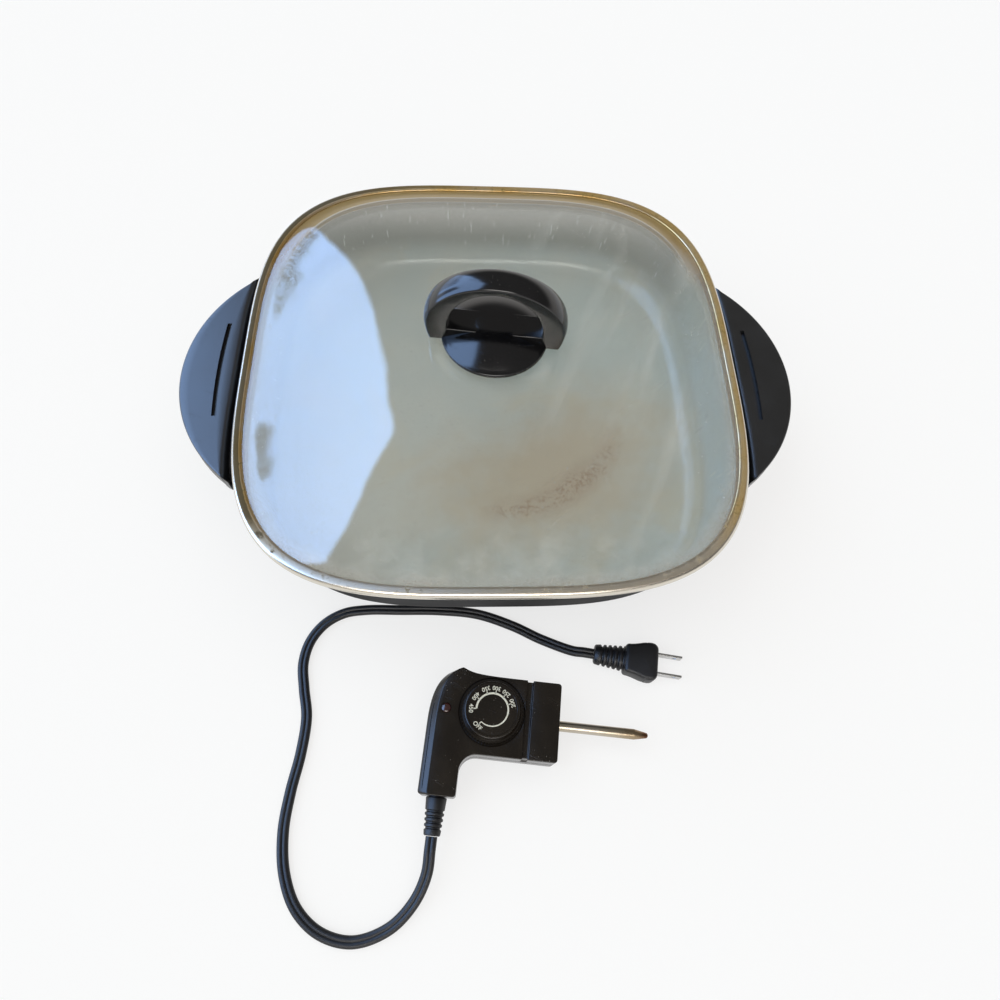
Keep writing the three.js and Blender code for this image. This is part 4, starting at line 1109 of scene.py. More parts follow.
def softened(points: Sequence[Point], steps: int) -> list[Point]:
    """Return a smooth curve through points, with a number of steps between each two.

    Args:
        points: What it goes through.
        steps: How many steps a span has.

    Returns:
        The curve's points.
    """
    found = []
    for i in range(len(points) - 1):
        before, after = points[max(i - 1, 0)], points[min(i + 2, len(points) - 1)]
        a, b = points[i], points[i + 1]
        for k in range(steps):
            t = k / steps
            weights = (-0.5 * t + t * t - 0.5 * t ** 3, 1 - 2.5 * t * t + 1.5 * t ** 3,
                       0.5 * t + 2 * t * t - 1.5 * t ** 3, 0.5 * t ** 3 - 0.5 * t * t)
            found.append(tuple(sum(w * p[j] for w, p in zip(weights, (before, a, b, after))) for j in (0, 1)))
    return [*found, tuple(points[-1])]


def lofted(name: str, rings: Sequence[Sequence[Vector]]) -> Object:
    """Shape a grid over a row of rings, join its seam and close its ends.

    Args:
        name: The object's name.
        rings: Closed rings with equally many points.

    Returns:
        A closed solid.
    """
    across, around = len(rings) - 1, len(rings[0])
    put_down()
    bpy.ops.mesh.primitive_grid_add(x_subdivisions=across, y_subdivisions=around, size=2.0)
    obj = bpy.context.object
    obj.name = name
    for vertex in obj.data.vertices:
        ring = rings[round((vertex.co.x + 1) / 2 * across)]
        vertex.co = ring[round((vertex.co.y + 1) / 2 * around) % around]
    with editing(obj):
        bpy.ops.mesh.remove_doubles(threshold=WELD)
        bpy.ops.mesh.select_all(action="SELECT")
        bpy.ops.mesh.fill_holes(sides=0)
    return sealed(obj)


def swept(name: str, path: Sequence[Vector], section: Sequence[Point]) -> Object:
    """Sweep a section along a path, its first axis kept level.

    Args:
        name: The object's name.
        path: The points of the section's middle.
        section: Its corners, sideways and up.

    Returns:
        A closed tube.
    """
    rings = []
    for i, middle in enumerate(path):
        along = (path[min(i + 1, len(path) - 1)] - path[max(i - 1, 0)]).normalized()
        aside = along.cross(Vector((0, 0, 1))).normalized()
        rise = aside.cross(along)
        rings.append([middle + aside * a + rise * b for a, b in section])
    return lofted(name, rings)


def collar(name: str, bore: float, radius: float, length: float, edge: float, sides: int) -> Object:
    """Turn a ring with a rounded outside.

    Args:
        name: The object's name.
        bore: Radius of its hole.
        radius: Radius outside.
        length: Its length up the Z axis.
        edge: How far its outer edges are rounded.
        sides: How many steps the turn has.

    Returns:
        A closed solid.
    """
    return smoothed(spun(name, [(bore, 0), *arc((radius - edge, edge), edge, -90, 0, 3),
                                *arc((radius - edge, length - edge), edge, 0, 90, 3), (bore, length)], sides))


def copied(mesh: bpy.types.Mesh, name: str) -> Object:
    """Put a copy of a mesh on an object of its own.

    Args:
        mesh: What is copied.
        name: The copy's name.

    Returns:
        The copy.
    """
    obj = bpy.data.objects.new(name, mesh.copy())
    bpy.context.collection.objects.link(obj)
    return obj


def refined(node: str, name: str, width: float = 0.25 * MM, segments: int = 2) -> Object:
    """Copy a node's mesh, merge its triangles and round its edges.

    Args:
        node: The CAD node copied.
        name: The new piece's name.
        width: How far its edges are rounded.
        segments: How many faces round an edge.

    Returns:
        The new piece.
    """
    obj = copied(bpy.data.objects[node].data, name)
    with editing(obj):
        bpy.ops.mesh.remove_doubles(threshold=WELD)
        bpy.ops.mesh.dissolve_limited(angle_limit=math.radians(FLAT))
    return smoothed(bevelled(obj, width, segments), 50.0)


@dataclass
class Shelf:
    """Puts finished pieces on their bodies and reports them."""

    palette: Palette
    made: list[str] = field(default_factory=list)

    def keep(self, obj: Object, body: Body, slot: Slot, finishes: Sequence[Finish],
             stands_for: Sequence[str]) -> Object:
        """Dress a piece, seat it on its body and let it stand for its nodes.

        Args:
            obj: The finished piece.
            body: The body that it moves with.
            slot: The record's slot for its finish; not used.
            finishes: Its materials.
            stands_for: The nodes that it replaces.

        Returns:
            The piece.
        """
        self.palette.dress(obj, *finishes)
        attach(obj, body.value)
        if stands_for:
            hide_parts(*stands_for)
        self.made.append(obj.name)
        LOG.info("%s: %d faces on body %s", obj.name, len(obj.data.polygons), body.value)
        return obj

    def finish_node(self, node: str, *finishes: Finish) -> None:
        """Give a node that stays as it is its material."""
        self.palette.dress(bpy.data.objects[node], *finishes)
        LOG.info("%s keeps its shape", node)


# Screws, one kind for each place


@dataclass(frozen=True)
class Screw:
    """A pan-head screw with a cross recess, modelled once for each length and copied."""

    head: float
    shank: float
    head_height: float

    @lru_cache(maxsize=None)
    def pattern(self, length: float) -> bpy.types.Mesh:
        """Model the screw standing on its head.

        Args:
            length: Its length overall.

        Returns:
            The mesh, at the origin.
        """
        crown = arc((0.0, self.head_height), self.head_height, -90, -14, 5)
        dome = [(x * self.head / self.head_height, z) for x, z in crown]
        pitch = self.shank * 0.55
        threads, z = [], self.head_height + pitch
        while z + pitch < length - self.shank:
            threads += [(self.shank, z), (self.shank * 0.84, z + pitch / 2)]
            z += pitch
        profile = [*dome, (self.head, self.head_height), (self.shank, self.head_height), *threads,
                   (self.shank * 0.9, length - self.shank), (0.0, length)]
        screw = spun("screw", profile, 24)
        arm, wide = self.head * 0.55, self.head * 0.13
        deep = self.head_height * 0.55
        cross = united(block((-arm, arm), (-wide, wide), (-deep, deep)),
                       block((-wide, wide), (-arm, arm), (-deep, deep)))
        mesh = smoothed(cut(screw, cross)).data
        bpy.data.objects.remove(screw)
        return mesh

    def seated(self, shelf: Shelf, node: str, name: str, body: Body, drive: Drive) -> Object:
        """Put a screw where its node is.

        Args:
            shelf: Where it is kept.
            node: The node that it stands for.
            name: The piece's name.
            body: Its body.
            drive: Which way it goes in.

        Returns:
            The piece.
        """
        low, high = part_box(node)
        middle = (low + high) / 2
        if drive is Drive.UP:
            length = high.z - low.z
            place = Matrix.Translation((middle.x, middle.y, low.z))
        else:
            length = high.x - low.x
            place = Matrix.Translation((high.x, middle.y, middle.z)) @ Matrix.Rotation(-QUARTER, 4, "Y")
        screw = placed(copied(self.pattern(length), name), place)
        return shelf.keep(screw, body, Slot.STEEL, [Finish.STEEL], [node])


# Skillet base


@dataclass
class Base:
    """The pan with its element, socket and two side handles."""

    shelf: Shelf
    sides: int = 208
    wall: float = 3.4 * MM
    floor_thickness: float = 4.5 * MM
    lip_width: float = 6.0 * MM
    lip_height: float = 4.0 * MM
    lip_round: float = 0.8 * MM
    depth: float = 57.5 * MM
    lean: float = 6.0 * MM
    fillet: float = 15.0 * MM

    def __post_init__(self) -> None:
        """Read the pan's place from the frame."""
        low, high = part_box("pan")
        self.centre = Matrix.Translation(((low.x + high.x) / 2, (low.y + high.y) / 2, 0.0))
        self.lip_half = (high.x - low.x) / 2
        self.rim = high.z
        self.floor_top = self.rim - self.depth
        self.floor_bottom = self.floor_top - self.floor_thickness

    def build(self) -> None:
        """Model every piece of the skillet's base."""
        self.pan()
        self.underside()
        self.element()
        self.socket()
        for name, turn in (("right", 0.0), ("left", math.pi)):
            SideHandle(self.shelf, self, name, turn).build()

    def pan(self) -> Object:
        """Model the bowl: coated inside, enamelled outside.

        Returns:
            The bowl.
        """
        mouth = self.lip_half - self.lip_width
        foot = mouth - self.lean
        centre = (foot - self.fillet, self.floor_top + self.fillet)
        edge, top, under = self.lip_round, self.rim, self.rim - self.lip_height
        outside = [(0.0, self.floor_bottom), (centre[0] - self.wall, self.floor_bottom),
                   *arc(centre, self.fillet + self.wall, -90, 0, 12), (mouth + self.wall, under)]
        lip = [*arc((self.lip_half - edge, under + edge), edge, -90, 0, 4),
               *arc((self.lip_half - edge, top - edge), edge, 0, 90, 4),
               *arc((mouth + edge, top - edge), edge, 90, 180, 4)]
        inside = [*arc(centre, self.fillet, 0, -90, 12), (0.0, self.floor_top)]
        bowl = squared(spun("pan_bowl", outside + lip + inside, self.sides))
        for face in bowl.data.polygons:
            at = face.center
            inward = face.normal.z > 0.5 or face.normal.x * at.x + face.normal.y * at.y < 0
            face.material_index = 0 if inward and square_size(at.x, at.y) < self.lip_half - edge else 1
        placed(smoothed(bowl, 40.0), self.centre)
        return self.shelf.keep(bowl, Body.SKILLET, Slot.PAN, [Finish.COAT, Finish.ENAMEL], ["pan"])

    def underside(self) -> Object:
        """Model the cast rib, probe boss, screw bosses and lugs, sunk a little into the floor.

        Returns:
            The piece under the floor.
        """
        obj = copied(bpy.data.objects["pan"].data, "pan_underside")
        level = self.floor_bottom - 0.15 * MM
        near, sunk = 0.05 * MM, 0.4 * MM
        with editing(obj):
            bpy.ops.mesh.remove_doubles(threshold=WELD)
            bpy.ops.mesh.bisect(plane_co=(0, 0, level), plane_no=(0, 0, 1), use_fill=True, clear_outer=True)
            bpy.ops.mesh.select_all(action="SELECT")
            bpy.ops.mesh.dissolve_limited(angle_limit=math.radians(FLAT))
        for vertex in obj.data.vertices:
            if vertex.co.z > level - near:
                vertex.co.z = self.floor_bottom + sunk
        smoothed(sealed(obj), 50.0)
        return self.shelf.keep(obj, Body.SKILLET, Slot.PAN, [Finish.ENAMEL], [])

    def element(self) -> Object:
        """Model the sheathed element, in from the socket, round its loop and out again.

        Returns:
            The sheath.
        """
        low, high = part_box("heating_element")
        radius = 4 * MM
        middle_y = (low.y + high.y) / 2
        axis = (low.z + high.z) / 2
        half = -low.x - radius
        corner, turn, pin = 38 * MM, 20 * MM, 14.3 * MM
        inner = half - corner
        plan = [(high.x, -pin), *arc((half + turn, -pin - turn), turn, 90, 180)]
        for right, back, start in ((1, -1, 0), (-1, -1, -90), (-1, 1, 180), (1, 1, 90)):
            plan += arc((right * inner, back * inner), corner, start, start - 90)
        plan += [*arc((half + turn, pin + turn), turn, 180, 270), (high.x, pin)]
        path = [Vector((x, y + middle_y, axis)) for x, y in plan]
        sheath = smoothed(swept("element_sheath", path, arc((0, 0), radius, 0, 337.5, 15)), 50.0)
        return self.shelf.keep(sheath, Body.SKILLET, Slot.SHEATH, [Finish.SHEATH], ["heating_element"])

    def socket(self) -> None:
        """Model the heater pins, their beads, the guard and its screws."""
        low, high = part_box("insulator_front")
        bead = collar("bead", 2.7 * MM, (high.y - low.y) / 2, high.x - low.x, 0.5 * MM, 32)
        low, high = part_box("terminal_pin_front")
        radius, length = (high.y - low.y) / 2, high.x - low.x
        neck = length - 1.4 * radius
        shoulder = arc((radius * 0.4, neck), radius * 0.6, 20, 60, 3)
        profile = [(0, 0), (radius, 0), (radius, neck), *shoulder, (radius * 0.35, length), (0, length)]
        pin = smoothed(spun("pin", profile, 32))
        screw = Screw(2.6 * MM, 1.3 * MM, 1.6 * MM)
        for label in ("front", "back"):
            low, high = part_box(f"insulator_{label}")
            middle = (low + high) / 2
            sideways = Matrix.Translation((low.x, middle.y, middle.z)) @ Matrix.Rotation(QUARTER, 4, "Y")
            piece = placed(copied(bead.data, f"pin_bead_{label}"), sideways)
            self.shelf.keep(piece, Body.SKILLET, Slot.CERAMIC, [Finish.CERAMIC], [f"insulator_{label}"])
            piece = placed(copied(pin.data, f"heater_pin_{label}"), sideways)
            self.shelf.keep(piece, Body.SKILLET, Slot.STEEL, [Finish.STEEL], [f"terminal_pin_{label}"])
            names = f"socket_screw_{label}", f"guard_screw_{label}"
            screw.seated(self.shelf, *names, Body.SKILLET, Drive.INWARD)
        bpy.data.objects.remove(bead)
        bpy.data.objects.remove(pin)
        guard = refined("socket_guard", "guard_plate", 0.5 * MM)
        self.shelf.keep(guard, Body.SKILLET, Slot.PHENOLIC, [Finish.SATIN], ["socket_guard"])


@dataclass
class SideHandle:
    """One moulding: crescent grip with a turned-down lip, rolled shoulder, apron and two flanged legs."""

    shelf: Shelf
    base: Base
    name: str
    turn: float
    reach: float = 46.3 * MM  # outermost point, out from the pan's lip
    arc_radius: float = 103.0 * MM
    drop: float = 10.0 * MM  # top of the grip under the pan's rim
    lip: float = 11.0 * MM
    wall: float = 4.5 * MM
    shoulder_gap: float = 7.5 * MM
    shoulder_width: float = 5.0 * MM
    leg_outer: float = 62.0 * MM
    leg_inner: float = 36.0 * MM
    doorway_rise: float = 11.5 * MM
    doorway_corner: float = 9.0 * MM
    foot_inset: float = 12.0 * MM
    flange_length: float = 20.5 * MM
    flange_thickness: float = 4.0 * MM
    boss: float = 3.7 * MM
    screw_inset: float = 14.0 * MM
    screw_side: float = 48.0 * MM
    screw_bore: float = 2.2 * MM
    slot_half: float = 38.0 * MM
    slot_width: float = 3.0 * MM
    slot_out: float = 8.6 * MM
    slot_shift: float = 3.0 * MM
    slot_depth: float = 3.0 * MM
    slot_bow: float = 1.6 * MM
    lip_wall: float = 4.0 * MM
    edge: float = 1.4 * MM
    columns: int = 84

    def __post_init__(self) -> None:
        """Work out the shared places."""
        self.top = self.base.rim - self.drop
        self.outer = self.base.lip_half + self.reach
        self.shoulder = self.base.lip_half + self.shoulder_gap
        self.inner = self.shoulder + self.shoulder_width
        self.foot = self.base.lip_half - self.foot_inset
        self.centre = self.outer - self.arc_radius
        self.tip = 80 * MM
        for _ in range(40):
            gap = self.sweep(self.tip) - square_reach(self.shoulder, self.tip)
            self.tip += gap / 2

    def sweep(self, y: float, inset: float = 0.0) -> float:
        """Return the half width of the grip's outer arc, set in, at a place along the side."""
        return self.centre + math.sqrt((self.arc_radius - inset) ** 2 - y * y)

    def span(self, z: float) -> float:
        """Return the moulding's half length along the pan's side at a height.

        Args:
            z: The height.

        Returns:
            The half length.
        """
        marks = [(0.0, self.leg_outer), (self.base.floor_top, self.leg_outer + self.wall / 2),
                 (self.top * 0.7, (self.leg_outer + self.tip) / 2), (self.top - self.lip, self.tip),
                 (self.base.rim, self.tip)]
        for (low, near), (high, far) in zip(marks, marks[1:]):
            if z <= high:
                return near + (far - near) * (z - low) / (high - low)
        return self.tip

    def inside(self) -> list[Point]:
        """Return half width and height of the face towards the pan, from the feet up.

        Returns:
            The curve's points.
        """
        w, floor, top = self.wall, self.base.floor_top, self.top
        flange = self.base.floor_bottom - self.boss - FIT
        return softened([
            (self.foot, 0.0), (self.foot + w * 0.5, flange), (self.foot + w, floor * 1.1),
            (self.foot + w * 1.9, floor * 1.45), (self.shoulder - w * 1.3, top * 0.62),
            (self.shoulder - w * 0.3, top * 0.76), (self.shoulder, top - w * 1.7),
            (self.shoulder + w * 0.15, top - w * 0.75), (self.shoulder + w * 0.55, top - w * 0.18),
            (self.inner, top)], 3)

    def outside(self) -> list[Point]:
        """Return half width and height of the face away from the pan, from under the grip down.

        Returns:
            The curve's points.
        """
        w, floor, top = self.wall, self.base.floor_top, self.top
        return softened([
            (self.shoulder + w, top * 0.82), (self.shoulder + w * 0.6, top * 0.68),
            (self.foot + w * 3.4, floor * 1.6), (self.foot + w * 2.2, floor * 1.15),
            (self.foot + w * 1.6, floor * 0.8), (self.foot + w, 0.0)], 3)

    def ring(self, share: float) -> list[Vector]:
        """Return the moulding's closed section at a share of its half length.

        Args:
            share: Where along the side, -1 to 1.

        Returns:
            The section's points.
        """
        w, top, low = self.wall, self.top, self.top - self.lip

        def at(half: float, z: float) -> Vector:
            """Return the point of a half width at a height, kept within the outer arc."""
            y = share * self.span(z)
            return Vector((min(square_reach(half, y), self.sweep(y)), y, z))

        y = share * self.tip
        rim, near = self.sweep(y), at(self.inner, top).x
        edge = min(self.edge, rim - near)
        flat = [Vector((near + (rim - edge - near) * i / 6, y, top)) for i in range(1, 6)]
        roll = [Vector((x, y, z)) for x, z in arc((rim - edge, top - edge), edge, 90, 0, 5)]
        open_by = self.sweep(y, self.lip_wall) - square_reach(self.inner + w, y)
        room = min(max(open_by / (2 * w), 0.0), 1.0)
        ceiling = low + (self.lip - w) * room * room * (3 - 2 * room)
        join = self.shoulder + w + (self.shoulder_width * (ceiling - top * 0.82) / (top - w - top * 0.82))
        under = min(square_reach(join, y), rim)
        wall = max(min(self.sweep(y, self.lip_wall), rim), under)
        soft = min(0.5 * MM, (rim - wall) / 3)
        tray = [Vector((rim, y, low + soft)), Vector((rim - soft, y, low)), Vector((wall + soft, y, low)),
                Vector((wall, y, low + soft)), Vector((wall, y, ceiling)), Vector((under, y, ceiling))]
        return [*(at(half, z) for half, z in self.inside()), *flat, *roll, *tray,
                *(at(half, z) for half, z in self.outside())]

    def slot(self) -> Object:
        """Make the cutter for the groove that follows the shoulder.

        Returns:
            The cutter.
        """
        middle, shift, edges = self.inner + self.slot_out, self.slot_shift * math.cos(self.turn), []
        for offset, direction in ((-0.5, 1), (0.5, -1)):
            for i in range(-8, 9):
                share = direction * i / 8
                x = middle - self.slot_bow * share * share + offset * self.slot_width
                edges.append((x, shift + share * self.slot_half))
        return raised("slot", edges, self.top - self.slot_depth, self.top + self.wall)

    def build(self) -> None:
        """Model the handle and its leg screws."""
        shares = [i / self.columns * 2 - 1 for i in range(self.columns + 1)]
        obj = lofted(f"{self.name}_grip", [self.ring(share) for share in shares])
        flange_top = self.base.floor_bottom - self.boss - FIT
        plates = [block((self.foot - self.flange_length, self.foot + self.wall * 0.6),
                        sorted((end * self.leg_inner, end * self.leg_outer)),
                        (flange_top - self.flange_thickness, flange_top)) for end in (-1, 1)]
        inside, high, corner = self.leg_inner, self.base.floor_top + self.doorway_rise, self.doorway_corner
        outline = [(-inside, -self.wall), (inside, -self.wall),
                   *arc((inside - corner, high - corner), corner, 0, 90, 8),
                   *arc((corner - inside, high - corner), corner, 90, 180, 8)]
        doorway = raised("doorway", outline, 0.0, self.outer)
        placed(doorway, Matrix.Rotation(QUARTER, 4, "Z") @ Matrix.Rotation(QUARTER, 4, "X"))
        united(obj, *plates)
        cut(obj, doorway)
        with editing(obj) as mesh:
            bpy.ops.mesh.remove_doubles(threshold=0.03 * MM)
            bpy.ops.mesh.select_all(action="DESELECT")
            keep = self.tip * 0.93
            for edge in mesh.edges:
                sharp = len(edge.link_faces) == 2 and edge.calc_face_angle() > math.radians(50)
                if sharp and max(abs(vertex.co.y) for vertex in edge.verts) < keep:
                    edge.select_set(True)
            bpy.ops.mesh.bevel(offset=0.8 * MM, segments=3, affect="EDGES", clamp_overlap=False)
        x = self.foot - self.screw_inset
        bores = [bar(self.screw_bore, (x, y, -self.wall), (x, y, self.base.floor_bottom), 24)
                 for y in (-self.screw_side, self.screw_side)]
        cut(obj, self.slot(), *bores)
        smoothed(sealed(obj), 40.0)
        placed(obj, self.base.centre @ Matrix.Rotation(self.turn, 4, "Z"))
        self.shelf.keep(obj, Body.SKILLET, Slot.PHENOLIC, [Finish.SATIN], [f"{self.name}_handle"])
        screw = Screw(3.7 * MM, 1.9 * MM, 2.2 * MM)
        for label in ("front", "back"):
            names = f"{self.name}_leg_screw_{label}", f"{self.name}_leg_fixing_{label}"
            screw.seated(self.shelf, *names, Body.SKILLET, Drive.UP)


# Lid


@dataclass
class Lid:
    """The banded glass dome and its loop handle."""

    shelf: Shelf
    sides: int = 208
    band_width: float = 6.6 * MM
    band_sheet: float = 0.7 * MM
    roll: float = 3.0 * MM
    glass: float = 4.0 * MM
    flange: float = 8.0 * MM
    dome_power: float = 2.3
    softness: float = 0.7 * MM  # how gently the dome runs out into its flat edge
    hole: float = 3.0 * MM
    screw_hole: float = 2.8 * MM  # in the gasket and the washer
    turn: float = math.radians(-6.0)

    def __post_init__(self) -> None:
        """Read the lid's places from the frame."""
        low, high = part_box("lid_rim")
        self.centre = Matrix.Translation(((low.x + high.x) / 2, (low.y + high.y) / 2, 0.0))
        self.half = (high.x - low.x) / 2
        self.band_low, self.band_high = low.z, high.z
        low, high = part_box("lid_glass")
        self.edge = (high.x - low.x) / 2
        self.glass_low, self.apex = low.z, high.z

    def build(self) -> None:
        """Model every piece of the lid."""
        self.dome()
        self.band()
        self.handle()
        self.fixings()

    def rise(self, half: float) -> float:
        """Return the height of the dome's upper face over its flat edge, at a half width.

        Args:
            half: The half width.

        Returns:
            The height.
        """
        flange = self.edge - self.flange
        height = self.apex - self.glass_low - self.glass
        raw = height * (1 - (half / flange) ** self.dome_power)
        return self.softness * math.log1p(math.exp(raw / self.softness)) if raw < 12 * self.softness else raw

    def dome(self) -> Object:
        """Model the glass.

        Returns:
            The glass.
        """
        top = self.glass_low + self.glass
        reaches = [self.hole + (self.edge - self.hole) * (i / 44) for i in range(44)]
        upper = [(half, top + self.rise(half)) for half in reaches]
        lower = [(half, z - self.glass) for half, z in upper]
        middle, radius = self.glass_low + self.glass / 2, self.glass / 2
        rounded = arc((self.edge - radius, middle), radius, -90, 90, 8)
        dome = squared(spun("glass_dome", [*lower, *rounded, *reversed(upper)], self.sides))
        placed(smoothed(dome, 50.0), self.centre)
        return self.shelf.keep(dome, Body.LID, Slot.GLASS, [Finish.GLASS], ["lid_glass"])

    def band(self) -> Object:
        """Model the steel band, rolled over the glass edge with a curled hem.

        Returns:
            The band.
        """
        inner, low, high, sheet = self.half - self.band_width, self.band_low, self.band_high, self.band_sheet
        centre = (self.half - self.roll, (low + high) / 2)
        tall = (high - low) / 2
        wide = arc(centre, self.roll, -90, 90, 14, tall)
        narrow = arc(centre, self.roll - sheet, 90, -90, 14, tall - sheet)
        hem, hem_sag, crown_sag = 0.55 * MM, 0.35 * MM, 0.1 * MM
        curl = arc((inner + hem, high - hem_sag - hem), hem, 110, 250, 6)
        crown = ((inner + centre[0]) / 2, high - crown_sag)
        outline = [(inner, low), *wide, crown, *curl, (inner + 2.2 * hem, high - 2.1 * hem), *narrow,
                   (inner, low + sheet)]
        band = squared(spun("steel_band", outline, self.sides))
        placed(smoothed(band, 45.0), self.centre)
        return self.shelf.keep(band, Body.LID, Slot.BAND, [Finish.BAND], ["lid_rim"])

    def handle(self) -> Object:
        """Model the loop over its domed disc.

        Returns:
            The handle.
        """
        low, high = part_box("lid_handle")
        seat, tall = low.z, high.z - low.z
        radius, rim, crown, edge = 34 * MM, 3.4 * MM, 9.4 * MM, 1.0 * MM
        inner = radius - edge
        outward = [i / 16 for i in range(16, -1, -1)]
        dome = [(inner * share, rim + crown * (1 - share ** 2.1)) for share in outward]
        profile = [(0.0, 0.0), (radius - 1.7 * MM, 0.0), (radius, 1.2 * MM), (radius, rim - edge),
                   *arc((inner, rim - edge), edge, 15, 75, 3), *dome]
        disc = spun("loop_handle", profile, 96)
        half, foot, lift, shoulder = 44.5 * MM, 42.5 * MM, 1.6 * MM, 13.4 * MM
        width, belly = 17 * MM, 3.4 * MM
        rings = []
        for turn in range(-70, 71, 10):
            shrink = belly * (1 - math.cos(math.radians(turn)))
            crest = arc((0.0, shoulder), half - shrink, 0, 180, 48, tall - shrink - shoulder)
            ring = [(shrink - foot, lift), (foot - shrink, lift), (half - lift / 2 - shrink, shoulder / 2),
                    *crest, (lift / 2 + shrink - half, shoulder / 2)]
            aside = width / 2 * math.sin(math.radians(turn)) / math.sin(math.radians(70))
            rings.append([Vector((x, y, aside)) for x, y in ring])
        strap = lofted("strap", rings)
        gap_half, gap_floor, top_wall = 29.4 * MM, 11.4 * MM, 6.2 * MM
        spring = gap_floor + lift
        gap = [(-gap_half, gap_floor), (gap_half, gap_floor),
               *arc((0.0, spring), gap_half, 0, 180, 48, tall - top_wall - spring)]
        cut(strap, raised("gap", gap, -width, width))
        bevelled(strap, 1.2 * MM, 5, 38.0)
        placed(strap, Matrix.Rotation(QUARTER, 4, "X"))
        bore = bar(2.7 * MM, (0, 0, -rim), (0, 0, 9.3 * MM))
        united(disc, strap)
        cut(disc, bore)
        bevelled(disc, 0.35 * MM, 2, 60.0)
        place = Matrix.Translation((0, 0, seat)) @ Matrix.Rotation(self.turn, 4, "Z")
        placed(smoothed(disc, 32.0), self.centre @ place)
        return self.shelf.keep(disc, Body.LID, Slot.GLOSS, [Finish.GLOSS], ["lid_handle"])

    def fixings(self) -> None:
        """Model the gasket, the washer and the screw."""
        for node, name, slot, finish, edge in (
                ("lid_handle_gasket", "glass_gasket", Slot.SILICONE, Finish.SILICONE, 0.25 * MM),
                ("lid_handle_washer", "glass_washer", Slot.STEEL, Finish.STEEL, 0.35 * MM)):
            low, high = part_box(node)
            ring = collar(name, self.screw_hole, (high.x - low.x) / 2, high.z - low.z, edge, 48)
            placed(ring, self.centre @ Matrix.Translation((0, 0, low.z)))
            self.shelf.keep(ring, Body.LID, slot, [finish], [node])
        screw = Screw(5.2 * MM, 2.4 * MM, 3.0 * MM)
        screw.seated(self.shelf, "lid_handle_screw", "glass_screw", Body.LID, Drive.UP)


# Heat control


